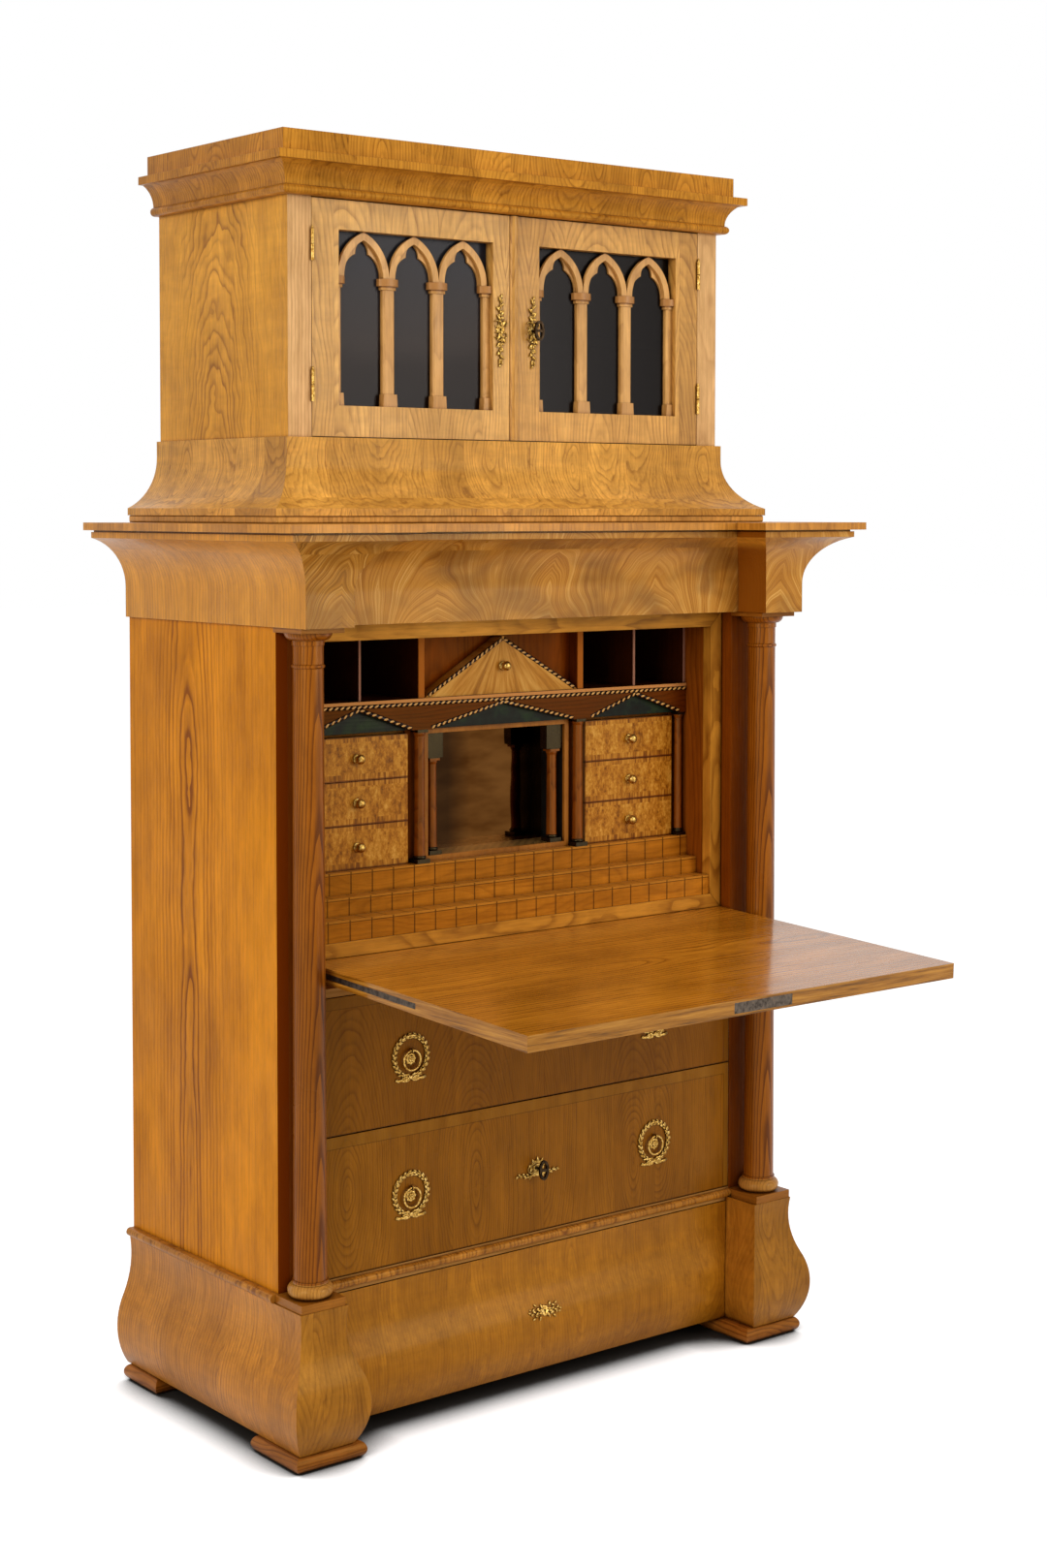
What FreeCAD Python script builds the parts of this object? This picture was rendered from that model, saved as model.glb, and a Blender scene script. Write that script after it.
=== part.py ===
import FreeCAD
import Part
import math
import os

Vector = FreeCAD.Vector

# A writing cabinet with a fall front under a glazed case, in millimetres.
# X is to the right and Z is up. Inside the functions a depth is measured forward from the plane of the back.

# Heights of the layers, from the floor up
foot_height = 28.5
plinth_height = 221
slab_height = 14
column_height = 1049
abacus_height = 8
frieze_neck_height = 52
frieze_cove_height = 83
frieze_fillet_height = 10
frieze_quirk_height = 3
top_board_height = 13
seat_height = 12
skirt_fillet_height = 12
skirt_cove_height = 87
skirt_neck_height = 27
door_zone_height = 383
crown_bead_height = 15
crown_cove_height = 36
crown_fillet_height = 13.5
attic_height = 35.5

# Lower case
case_width = 1050
case_depth = 460
panel_thickness = 22
stile_width = 53
stile_thickness = 24
back_thickness = 10
board_thickness = 14.5

# Ogee of the plinth: how far each point of the face stands out, and its share of the plinth's height
ogee_lip = 2
ogee_waist = 0.5
ogee_turn = 15
ogee_belly = 28
ogee_toe = 8
waist_height_share = 0.787
turn_height_share = 0.552
belly_height_share = 0.303

# Plinth
plinth_overhang = 6
block_width = 86
block_reach = 75
foot_overhang = 17
foot_width = 133
front_foot_length = 135
front_foot_overhang = 13
back_foot_length = 110
back_foot_inset = 2
moulding_nose = 7
side_moulding_reach = 15
front_moulding_reach = 10
rail_drop = 7
rail_rise = 3
guide_width = 35
guide_height = 30

# Free-standing columns at the front
slab_width = 82
slab_depth = 76
slab_margin = 0.5
abacus_size = 80
torus_radius = 36.5
torus_height = 23
shaft_fillet_radius = 29
shaft_fillet_height = 5
shaft_foot_radius = 27
shaft_head_radius = 24.3
neck_ring_radius = 26.5
neck_ring_height = 7
neck_height = 29
astragal_radius = 25.8
astragal_height = 8
echinus_radius = 38
echinus_height = 12

# Frieze and the board over it
frieze_overhang = 7
frieze_block_width = 90
frieze_block_reach = 97
frieze_front_reach = 25
frieze_cove_reach = 65
frieze_wall = 30
quirk_setback = 5
top_board_overhang = 15

# Long drawers: the two flat fronts take shares of the height of the columns
drawer_reveal = 1.5
drawer_gap = 2
running_gap = 0.3
front_thickness = 24
lower_front_share = 0.2178
upper_front_share = 0.2135
drawer_side = 12
drawer_back = 10
drawer_bottom = 8
drawer_headroom = 2.2
drawer_back_space = 20
cope_gap = 1.2
plinth_box_headroom = 15

# Wreath pulls, escutcheons and keys
pull_x = 267
pull_drop = 8.5
keyhole_lift = 3
wreath_width = 76
wreath_height = 78
wreath_band = 10
wreath_thickness = 3
wreath_rise = 6
bow_width = 62
bow_height = 21.5
rosette_radius = 10.5
rosette_height = 6
rosette_rise = 2
ring_radius = 16.5
ring_wire = 2
ring_play = 0.5
eye_radius = 4
eye_width = 6
escutcheon_width = 98
escutcheon_height = 42
escutcheon_wing = 24
escutcheon_thickness = 2
plinth_escutcheon_width = 73
plinth_escutcheon_height = 41
plinth_escutcheon_rise = 106
key_shank_radius = 2.5
key_shank_depth = 14
key_reach = 17
key_bow_width = 20
key_bow_height = 34
key_bow_wire = 2.2
pin_gap = 0.05

# Fall front
flap_thickness = 25
flap_side_gap = 1
flap_foot_gap = 4
flap_heel = 24.5
flap_head_gap = 4.5
flap_sag_degrees = 2.2
flap_turn_degrees = 92.2
strap_length = 290
strap_width = 9
strap_thickness = 2.5
strap_foot = 12
pivot_radius = 4
pivot_length = 12
lock_plate_left = 46
lock_plate_right = 77
lock_plate_width = 17
lock_plate_thickness = 2.5

# Frame and lining of the desk opening
frame_jamb = 26
frame_sill = 24
frame_head = 28
frame_thickness = 20
frame_setback = 1
stop_gap = 0.35
stop_rail_thickness = 18
stop_rail_overlap = 4
lining_side = 10
lining_board = 12
lining_back_space = 20

# Stepped treads in the desk
tread_thickness = 8
front_step_depth = 34
middle_step_depth = 26
unit_setback = 63
front_step_rise = 35
middle_step_rise = 30
unit_rise = 37

# Small drawers in two stacks of three. A row takes a share of the height over the unit's floor
small_drawer_rows = 3
small_drawer_share = 0.1908
small_drawer_gap = 1
small_wall = 6
small_front_thickness = 12
small_front_setback = 17
small_drawer_depth_share = 0.804
small_side = 6
small_bottom = 4
runner_thickness = 3
facing_thickness = 3.5
outer_facing_width = 22
inner_facing_width = 35
knob_radius = 7
knob_stem_radius = 3.5
knob_length = 17

# Niche with a mirror between the stacks
niche_half = 150
niche_wall = 6
niche_frame_width = 9
niche_frame_thickness = 6
niche_depth = 60
mirror_thickness = 3

# Turned columns of the desk
desk_column_inset = 13.2
desk_plinth_half = 14.9
desk_plinth_height = 8.5
desk_torus_radius = 13
desk_torus_height = 6
desk_fillet_radius = 11.6
desk_fillet_height = 2
desk_shaft_foot = 10.7
desk_shaft_head = 9.8
desk_capital_radius = 12
desk_capital_height = 6
desk_abacus_half = 12.2
desk_abacus_height = 5
flank_column_offset = 23.5
flank_column_share = 0.88
outer_column_inset = 10.5
outer_column_share = 0.7
niche_column_inset = 18
niche_column_depth = 9
niche_column_share = 0.85
niche_capital_height = 46

# Gabled apron, shelf and pigeonholes
apron_height = 41
apron_thickness = 10
apron_setback = 3
gable_headroom = 4
middle_gable_half = 157
side_gable_inset = 15
side_gable_margin = 1
tympanum_thickness = 6
shelf_thickness = 12
shelf_setback = 2
divider_setback = 6
thick_divider = 12
thin_divider = 4
thick_divider_x = 168
panel_setback = 31
panel_board = 8
panel_opening_half = 72
panel_opening_share = 0.4533

# Pediment drawer
pediment_half = 167
pediment_headroom = 6
pediment_knob_share = 0.48
pediment_box_half = 70
pediment_box_share = 0.3966
pediment_box_length = 180

# Upper case
upper_width = 924
upper_depth = 401
upper_panel = 22
upper_stile_width = 45
upper_stile_thickness = 22
upper_back = 8
upper_board = 17
shelf_board = 16
shelf_height_share = 0.45
shelf_front_gap = 10
seat_reach = 45
seat_width = 60
skirt_neck_reach = 7.5
skirt_reach = 65
crown_bead_reach = 17
crown_cove_foot = 11
crown_cove_reach = 31
crown_fillet_reach = 40
attic_reach = 22
attic_top_thickness = 10

# Doors
door_gap = 1
door_head_gap = 1.5
door_thickness = 23
door_outer_stile = 52
glass_inner = 50
meeting_offset = 14.5
bead_width = 17
bead_proud = 6
bottom_rail = 50.5
top_rail = 47.5
rebate = 6
glass_thickness = 3
cusp_thickness = 4
tracery_thickness = 6

# Tracery: three lancets in each door
lancets = 3
lancet_margin = 5.5
arch_bar = 12
arch_radius_share = 0.772
cusp_cover = 4
foil_half_shares = (0.935, 0.779, 0.338, 0.234, 0)
foil_rise_shares = (0, 0.4, 0.633, 0.867, 1)
shaft_width = 23
shaft_chamfer = 3
half_shaft_width = 12
capital_width = 38
capital_height = 12
capital_proud = 6
capital_flat = 2
necking_width = 29
necking_height = 6
base_width = 28.5
base_batter = 1.2
base_height = 21
base_proud = 3

# Door hinges and door escutcheons
hinge_height = 52
hinge_foot_inset = 55.5
hinge_head_inset = 48.5
knuckle_radius = 3
knuckle_stand = 0.2
hinge_pin_radius = 1.5
hinge_pin_inset = 1
leaf_thickness = 0.4
leaf_width = 18
door_plate_x = 35
door_plate_width = 30
door_plate_height = 139
door_plate_drop = 2.5
keyhole_rise = 187.5

# Levels
plinth_bottom = foot_height
plinth_top = plinth_bottom + plinth_height
slab_top = plinth_top + slab_height
column_top = slab_top + column_height
frieze_bottom = column_top + abacus_height
cove_bottom = frieze_bottom + frieze_neck_height
cove_top = cove_bottom + frieze_cove_height
fillet_top = cove_top + frieze_fillet_height
frieze_top = fillet_top + frieze_quirk_height
top_board_top = frieze_top + top_board_height
skirt_bottom = top_board_top + seat_height
skirt_cove_bottom = skirt_bottom + skirt_fillet_height
skirt_cove_top = skirt_cove_bottom + skirt_cove_height
skirt_top = skirt_cove_top + skirt_neck_height
crown_bottom = skirt_top + door_zone_height
crown_cove_bottom = crown_bottom + crown_bead_height
crown_cove_top = crown_cove_bottom + crown_cove_height
crown_top = crown_cove_top + crown_fillet_height
attic_top = crown_top + attic_height

# Plan of the lower case
case_half = case_width / 2
panel_inner = case_half - panel_thickness
opening_half = panel_inner - stile_width
stile_back = case_depth - stile_thickness
plinth_neck = case_half + plinth_overhang
block_inner = plinth_neck - block_width
block_front = case_depth + block_reach
column_x = plinth_neck - slab_margin - slab_width / 2
column_depth = case_depth + slab_depth / 2
guide_inner = block_inner - guide_width

# Levels in the lower case
rail_bottom = plinth_top - rail_drop
rail_top = slab_top + rail_rise
lower_front_bottom = rail_top + drawer_reveal
lower_front_top = lower_front_bottom + column_height * lower_front_share
upper_front_bottom = lower_front_top + drawer_gap
upper_front_top = upper_front_bottom + column_height * upper_front_share
middle_board_top = upper_front_bottom - running_gap
desk_board_bottom = upper_front_top + drawer_reveal
desk_board_top = desk_board_bottom + board_thickness

# Fall front: its pivot lies in the middle of its thickness
flap_half = opening_half - flap_side_gap
pivot_depth = case_depth - flap_thickness / 2
pivot_z = desk_board_top + flap_foot_gap + flap_heel
flap_top = frieze_bottom - flap_head_gap
sag = math.radians(flap_sag_degrees)
heel_top = pivot_z + math.cos(sag) * flap_thickness / 2 + math.sin(sag) * flap_heel

# Desk opening
sill_bottom = heel_top + stop_gap
sill_top = sill_bottom + frame_sill
ceiling_z = frieze_bottom - frame_head
cavity_half = opening_half - frame_jamb
frame_front = case_depth - flap_thickness - frame_setback
frame_back = frame_front - frame_thickness
lining_back = back_thickness + lining_back_space

# Stepped floor and what stands on it
front_step_top = sill_top + front_step_rise
middle_step_top = front_step_top + middle_step_rise
unit_floor = middle_step_top + unit_rise
unit_front = frame_front - unit_setback
small_drawer_pitch = (ceiling_z - unit_floor) * small_drawer_share
middle_step_front = unit_front + middle_step_depth
front_step_front = middle_step_front + front_step_depth
stack_top = unit_floor + small_drawer_rows * small_drawer_pitch
apron_bottom = stack_top + small_wall
apron_top = apron_bottom + apron_height
shelf_top = apron_top + shelf_thickness
small_front = unit_front - small_front_setback
wall_front = small_front - small_front_thickness - small_drawer_gap
facing_front = wall_front + facing_thickness
small_drawer_length = (wall_front - lining_back) * small_drawer_depth_share
stack_back = wall_front - small_drawer_length - lining_board
stack_outer = cavity_half - outer_facing_width
stack_inner = niche_half + niche_frame_width + inner_facing_width
niche_front = facing_front + niche_frame_thickness
mirror_front = facing_front - niche_depth
niche_floor = unit_floor + niche_frame_width
flank_x = niche_half + flank_column_offset
desk_column_depth = unit_front - desk_column_inset
apron_front = unit_front - apron_setback
apron_back = apron_front - apron_thickness
shelf_front = unit_front - shelf_setback
divider_front = unit_front - divider_setback
panel_front = unit_front - panel_setback

# Frieze
frieze_half = case_half + frieze_overhang
frieze_block_inner = frieze_half - frieze_block_width
frieze_block_front = case_depth + frieze_block_reach
frieze_front = case_depth + frieze_front_reach
board_reach = frieze_cove_reach + top_board_overhang

# Upper case and doors
upper_half = upper_width / 2
upper_panel_inner = upper_half - upper_panel
upper_stile_inner = upper_half - upper_stile_width
upper_stile_back = upper_depth - upper_stile_thickness
door_outer = upper_stile_inner - door_gap
door_bottom = skirt_top + door_head_gap
door_top = crown_bottom - door_head_gap
door_back = upper_depth - door_thickness
glass_outer = door_outer - door_outer_stile
glass_bottom = door_bottom + bottom_rail
glass_top = door_top - top_rail
glass_front = door_back + glass_thickness
cusp_front = glass_front + cusp_thickness
tracery_front = cusp_front + tracery_thickness
lancet_pitch = (glass_outer - glass_inner - 2 * lancet_margin) / lancets
arch_outer = lancet_pitch * arch_radius_share
arch_centre = arch_outer - lancet_pitch / 2
springing = glass_top - math.sqrt(arch_outer ** 2 - arch_centre ** 2)
capital_bottom = springing - capital_height
hinge_x = upper_stile_inner - door_gap / 2
hinge_depth = upper_depth + knuckle_radius + knuckle_stand
keyhole_z = door_bottom + keyhole_rise

# The open fall front reaches furthest forward, and the whole stands centred on its footprint
flap_reach = (flap_top - pivot_z) * math.cos(sag) + math.sin(sag) * flap_thickness / 2
overall_depth = pivot_depth + flap_reach


def board(left, right, back, front, bottom, top):
    """A square-edged board."""
    return Part.makeBox(right - left, front - back, top - bottom, Vector(left, -front, bottom))


def both_sides(shape):
    """The same piece on the right and, mirrored, on the left."""
    return [shape, shape.mirror(Vector(0, 0, 0), Vector(1, 0, 0))]


def face(steps, point):
    """A face inside an outline. A step of two numbers ends a straight run, and one of four an arc."""
    here = point(*steps[0])
    edges = []
    for step in steps[1:] + steps[:1]:
        there = point(*step[-2:])
        if len(step) == 4:
            edges.append(Part.Arc(here, point(*step[:2]), there).toShape())
        elif here.distanceToPoint(there) > 0:
            edges.append(Part.makeLine(here, there))
        here = there
    return Part.Face(Part.Wire(edges))


def run_across(steps, left, right):
    """A length that runs across the front, from an outline of depth and height."""
    profile = face(steps, lambda depth, z: Vector(left, -depth, z))
    return profile.extrude(Vector(right - left, 0, 0))


def run_forward(steps, back, front):
    """A length that runs forward, from an outline of width and height."""
    profile = face(steps, lambda x, z: Vector(x, -back, z))
    return profile.extrude(Vector(0, back - front, 0))


def run_up(steps, bottom, top):
    """A length that stands upright, from an outline of width and depth."""
    profile = face(steps, lambda x, depth: Vector(x, -depth, bottom))
    return profile.extrude(Vector(0, 0, top - bottom))


def turned(steps, x, depth):
    """An upright turning, from an outline of radius and height."""
    profile = face(steps, lambda radius, z: Vector(x + radius, -depth, z))
    return profile.revolve(Vector(x, -depth, 0), Vector(0, 0, 1), 360)


def turned_forward(steps, x, z):
    """A turning that points forward, from an outline of radius and depth."""
    profile = face(steps, lambda radius, depth: Vector(x + radius, -depth, z))
    return profile.revolve(Vector(x, 0, z), Vector(0, -1, 0), 360)


def oval(x, z, width, height, back, front):
    """An upright oval plate."""
    centre = Vector(x, -back, z)
    ends = [centre + Vector(width / 2, 0, 0), centre + Vector(0, 0, height / 2)]
    if height > width:
        ends.reverse()
    rim = Part.Ellipse(ends[0], ends[1], centre).toShape()
    return Part.Face(Part.Wire(rim)).extrude(Vector(0, back - front, 0))


def rod_forward(radius, x, z, back, front):
    """A round rod that points forward."""
    return Part.makeCylinder(radius, front - back, Vector(x, -back, z), Vector(0, -1, 0))


def bend_middle(foot, head):
    """The middle of an arc that leaves its foot upright and bends over to its head."""
    run = head[0] - foot[0]
    rise = head[1] - foot[1]
    radius = (run ** 2 + rise ** 2) / (2 * run)
    half_turn = math.atan2(abs(rise), abs(radius) - abs(run)) / 2
    lift = math.copysign(abs(radius) * math.sin(half_turn), rise)
    return (foot[0] + radius * (1 - math.cos(half_turn)), foot[1] + lift)


def mitred_round(section, half, depth, reach, bottom, top):
    """A moulding round the front and two sides of a case, in three lengths mitred at the corners."""
    far = half + reach
    fore = depth + reach
    side = run_forward(section(half), 0, fore)
    front = run_across(section(depth), -far, far)
    side_plan = run_up([(half, 0), (half, depth), (far, fore), (far, 0)], bottom, top)
    front_plan = run_up([(-half, depth), (half, depth), (far, fore), (-far, fore)], bottom, top)
    return [front.common(front_plan)] + both_sides(side.common(side_plan))


def ogee(neck, side, back):
    """Outline of the swelling face of the plinth, with a straight back."""
    def at(offset, share):
        return (neck + side * offset, plinth_bottom + plinth_height * share)
    return [
        (back, plinth_bottom),
        (back, plinth_top),
        at(ogee_lip, 1),
        at(ogee_waist, waist_height_share) + at(ogee_turn, turn_height_share),
        at(ogee_belly, belly_height_share) + at(ogee_toe, 0),
    ]


def pad_foot(back, front):
    """A pad with half-round edges, mitred at its corners."""
    outer = plinth_neck + foot_overhang
    inner = outer - foot_width
    nose = foot_height / 2

    def stadium(low, high):
        return [
            (low + nose, 0),
            (high - nose, 0),
            (high, nose, high - nose, foot_height),
            (low + nose, foot_height),
            (low, nose, low + nose, 0),
        ]
    lengthways = run_forward(stadium(inner, outer), back, front)
    return lengthways.common(run_across(stadium(back, front), inner, outer))


def feet():
    front = block_front + front_foot_overhang
    front_pads = both_sides(pad_foot(front - front_foot_length, front))
    return front_pads + both_sides(pad_foot(back_foot_inset, back_foot_inset + back_foot_length))


def plinth_sides():
    return both_sides(run_forward(ogee(plinth_neck, 1, panel_inner), 0, stile_back))


def corner_blocks():
    """Blocks that swell to the front and to both sides."""
    margin = block_width / 2
    outer = run_forward(ogee(plinth_neck, 1, block_inner - margin), stile_back, block_front + margin)
    inner = run_forward(ogee(block_inner, -1, plinth_neck + margin), stile_back, block_front + margin)
    front = run_across(ogee(block_front, 1, stile_back), block_inner - margin, plinth_neck + margin)
    return both_sides(front.common(outer).common(inner))


def column_blocks():
    slab = board(column_x - slab_width / 2, column_x + slab_width / 2,
                 case_depth, case_depth + slab_depth, plinth_top, slab_top)
    abacus = board(column_x - abacus_size / 2, column_x + abacus_size / 2,
                   case_depth, case_depth + abacus_size, column_top, frieze_bottom)
    return both_sides(slab) + both_sides(abacus)


def front_columns():
    torus_flat = torus_radius - torus_height / 2
    torus_top = slab_top + torus_height
    shaft_foot = torus_top + shaft_fillet_height
    echinus_foot = column_top - echinus_height
    astragal_foot = echinus_foot - astragal_height
    ring_foot = astragal_foot - neck_height - neck_ring_height
    ring_flat = neck_ring_radius - neck_ring_height / 2
    echinus_head = (echinus_radius, column_top)
    return both_sides(turned([
        (0, slab_top),
        (torus_flat, slab_top),
        (torus_radius, slab_top + torus_height / 2, torus_flat, torus_top),
        (shaft_fillet_radius, torus_top),
        (shaft_fillet_radius, shaft_foot),
        (shaft_foot_radius, shaft_foot),
        (shaft_head_radius, ring_foot),
        (ring_flat, ring_foot),
        (neck_ring_radius, ring_foot + neck_ring_height / 2, ring_flat, ring_foot + neck_ring_height),
        (shaft_head_radius, ring_foot + neck_ring_height),
        (shaft_head_radius, astragal_foot),
        (astragal_radius, astragal_foot),
        (astragal_radius, echinus_foot),
        bend_middle(echinus_head, (astragal_radius, echinus_foot)) + echinus_head,
        (0, column_top),
    ], column_x, column_depth))


def half_round(wall, nose_centre):
    """Outline of the half-round moulding over the plinth, from the wall that it is fixed to."""
    middle = plinth_top + slab_height / 2
    return [
        (wall, plinth_top),
        (nose_centre, plinth_top),
        (nose_centre + moulding_nose, middle, nose_centre, slab_top),
        (wall, slab_top),
    ]


def plinth_mouldings():
    side_nose = case_half + side_moulding_reach - moulding_nose
    front_nose = case_depth + front_moulding_reach - moulding_nose
    slab_inner = column_x - slab_width / 2
    sides = both_sides(run_forward(half_round(case_half, side_nose), 0, case_depth))
    return sides + [run_across(half_round(case_depth, front_nose), -slab_inner, slab_inner)]


def lower_sides():
    return both_sides(board(panel_inner, case_half, 0, case_depth, plinth_top, frieze_bottom))


def front_stiles():
    """Uprights behind the columns, bored for the pivots of the fall front."""
    stile = board(opening_half, panel_inner, stile_back, case_depth, plinth_top, frieze_bottom)
    bore = Part.makeCylinder(pivot_radius + pin_gap, pivot_length,
                             Vector(opening_half, -pivot_depth, pivot_z), Vector(1, 0, 0))
    return both_sides(stile.cut(bore))


def rail_with_board(bottom, top, nose_bottom, nose_half):
    """A dust board with its rail, which fills the opening between the stiles."""
    plate = board(-panel_inner, panel_inner, back_thickness, stile_back, bottom, top)
    rail = board(-opening_half, opening_half, stile_back, case_depth, max(bottom, plinth_top), top)
    lip = board(-nose_half, nose_half, stile_back, case_depth, nose_bottom, top)
    return [plate, rail.fuse(lip).removeSplitter()]


def guide_pair(inner, outer, floor):
    return both_sides(board(inner, outer, back_thickness, stile_back, floor, floor + guide_height))


def inner_boards():
    """Boards between the drawers, the strips that guide the drawers, and the rail that backs the sill."""
    base_top = plinth_bottom + board_thickness
    base = board(-panel_inner, panel_inner, back_thickness, stile_back, plinth_bottom, base_top)
    pieces = [base] + guide_pair(guide_inner, block_inner, base_top)
    pieces += rail_with_board(rail_top - board_thickness, rail_top, rail_bottom, block_inner - ogee_lip)
    pieces += guide_pair(opening_half - running_gap, panel_inner, rail_top)
    pieces.append(board(-panel_inner, panel_inner, back_thickness, stile_back,
                        middle_board_top - board_thickness, middle_board_top))
    pieces += guide_pair(opening_half - running_gap, panel_inner, middle_board_top)
    pieces += rail_with_board(desk_board_bottom, desk_board_top, desk_board_bottom, opening_half)
    rail_front = frame_back + stop_rail_overlap
    pieces.append(board(-cavity_half, cavity_half, rail_front - stop_rail_thickness, rail_front,
                        desk_board_top, sill_bottom))
    return pieces


def back_boards():
    lower = board(-panel_inner, panel_inner, 0, back_thickness, plinth_bottom, frieze_bottom)
    frieze_inner = frieze_half - frieze_wall
    middle = board(-frieze_inner, frieze_inner, 0, back_thickness, frieze_bottom, frieze_top)
    upper = board(-upper_panel_inner, upper_panel_inner, 0, upper_back, skirt_bottom, crown_top)
    return [lower, middle, upper]


def desk_frame():
    """Jambs, head and sill of the desk opening, mitred at the corners."""
    jamb = [
        (opening_half, sill_bottom),
        (opening_half, frieze_bottom),
        (cavity_half, ceiling_z),
        (cavity_half, sill_top),
    ]

    def cross(outer, inner):
        return [(-opening_half, outer), (opening_half, outer), (cavity_half, inner), (-cavity_half, inner)]
    pieces = both_sides(run_forward(jamb, frame_back, frame_front))
    pieces.append(run_forward(cross(frieze_bottom, ceiling_z), frame_back, frame_front))
    pieces.append(run_forward(cross(sill_bottom, sill_top), frame_back, frame_front))
    return pieces


def desk_lining():
    top = ceiling_z + lining_board
    outer = cavity_half + lining_side
    pieces = both_sides(board(cavity_half, outer, lining_back, frame_back, desk_board_top, top))
    floor = sill_top - lining_board
    pieces.append(board(-cavity_half, cavity_half, lining_back, frame_back, floor, sill_top))
    pieces.append(board(-cavity_half, cavity_half, lining_back, frame_back, ceiling_z, top))
    pieces.append(board(-outer, outer, lining_back - lining_side, lining_back, desk_board_top, top))
    return pieces


def desk_steps():
    """Two treads with their risers, and the raised floor of the fitted unit."""
    def step(front, back, floor, top):
        under = top - tread_thickness
        tread = board(-cavity_half, cavity_half, back, front, under, top)
        riser = board(-cavity_half, cavity_half, front - tread_thickness, front, floor, under)
        return [tread, riser]
    pieces = step(front_step_front, middle_step_front - tread_thickness, sill_top, front_step_top)
    pieces += step(middle_step_front, unit_front - tread_thickness, front_step_top, middle_step_top)
    pieces += step(unit_front, lining_back, middle_step_top, unit_floor)
    return pieces


def small_drawer_cases():
    """Walls, runners and facings round the two stacks of small drawers."""
    pieces = []
    for inner, outer in ((stack_inner - small_wall, stack_inner), (stack_outer, stack_outer + small_wall)):
        pieces += both_sides(board(inner, outer, stack_back, wall_front, unit_floor, apron_top))
    pieces += both_sides(board(stack_inner, stack_outer, stack_back, wall_front, stack_top, apron_bottom))
    pieces += both_sides(board(stack_inner, stack_outer, stack_back, stack_back + small_wall,
                               unit_floor, stack_top))
    for row in range(1, small_drawer_rows):
        middle = unit_floor + row * small_drawer_pitch
        pieces += both_sides(board(stack_inner, stack_outer, stack_back + small_wall, wall_front,
                                   middle - runner_thickness / 2, middle + runner_thickness / 2))
    niche_side = niche_half + niche_frame_width
    pieces += both_sides(board(niche_side, stack_inner, wall_front, facing_front, unit_floor, apron_bottom))
    pieces += both_sides(board(stack_outer, cavity_half, wall_front, facing_front, unit_floor, apron_bottom))
    return pieces


def niche_frame():
    """Sides, raised floor and ceiling of the niche, and the narrow mitred frame round its opening."""
    opening_top = apron_bottom - niche_frame_width
    outer = niche_half + niche_frame_width
    wall = board(niche_half, niche_half + niche_wall, mirror_front - mirror_thickness, facing_front,
                 unit_floor, apron_bottom)
    jamb = [(niche_half, niche_floor), (outer, unit_floor), (outer, apron_bottom), (niche_half, opening_top)]
    floor = board(-niche_half, niche_half, mirror_front, facing_front, unit_floor, niche_floor)
    ceiling = board(-niche_half, niche_half, mirror_front - mirror_thickness, facing_front,
                    apron_bottom - niche_wall, apron_bottom)
    pieces = both_sides(wall) + both_sides(run_forward(jamb, facing_front, niche_front)) + [floor, ceiling]
    for inside, outside in ((opening_top, apron_bottom), (niche_floor, unit_floor)):
        pieces.append(run_forward([
            (-niche_half, inside),
            (niche_half, inside),
            (outer, outside),
            (-outer, outside),
        ], facing_front, niche_front))
    return pieces


def niche_mirror():
    return [board(-niche_half, niche_half, mirror_front - mirror_thickness, mirror_front,
                  unit_floor, apron_bottom - niche_wall)]


def desk_column(x, depth, share, foot, head):
    """A small turned column on a square plinth and under a square abacus, slimmer by its share."""
    plinth_half = desk_plinth_half * share
    abacus_half = desk_abacus_half * share
    torus_foot = foot + desk_plinth_height * share
    torus_top = torus_foot + desk_torus_height * share
    torus = desk_torus_radius * share
    flat = torus - desk_torus_height * share / 2
    shaft_foot = torus_top + desk_fillet_height
    abacus_foot = head - desk_abacus_height
    neck = (desk_shaft_head * share, abacus_foot - desk_capital_height)
    capital_head = (desk_capital_radius * share, abacus_foot)
    shaft = turned([
        (0, torus_foot),
        (flat, torus_foot),
        (torus, torus_foot + desk_torus_height * share / 2, flat, torus_top),
        (desk_fillet_radius * share, torus_top),
        (desk_fillet_radius * share, shaft_foot),
        (desk_shaft_foot * share, shaft_foot),
        neck,
        bend_middle(capital_head, neck) + capital_head,
        (0, abacus_foot),
    ], x, depth)
    plinth = board(x - plinth_half, x + plinth_half, depth - plinth_half, depth + plinth_half,
                   foot, torus_foot)
    abacus = board(x - abacus_half, x + abacus_half, depth - abacus_half, depth + abacus_half,
                   abacus_foot, head)
    return shaft.fuse([plinth, abacus])


def desk_columns():
    """Two columns beside the niche, two at the outer ends, and two in the niche under dark blocks."""
    outer_x = cavity_half - outer_column_inset
    niche_x = niche_half - niche_column_inset
    niche_column_axis = facing_front - niche_column_depth
    ceiling = apron_bottom - niche_wall
    block_foot = ceiling - niche_capital_height
    pieces = both_sides(desk_column(flank_x, desk_column_depth, flank_column_share,
                                    unit_floor, apron_bottom))
    pieces += both_sides(desk_column(outer_x, desk_column_depth, outer_column_share,
                                     unit_floor, apron_bottom))
    pieces += both_sides(desk_column(niche_x, niche_column_axis, niche_column_share,
                                     niche_floor, block_foot))
    return pieces + both_sides(board(niche_x - niche_column_inset, niche_half,
                                     facing_front - 2 * niche_column_depth, facing_front,
                                     block_foot, ceiling))


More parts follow.
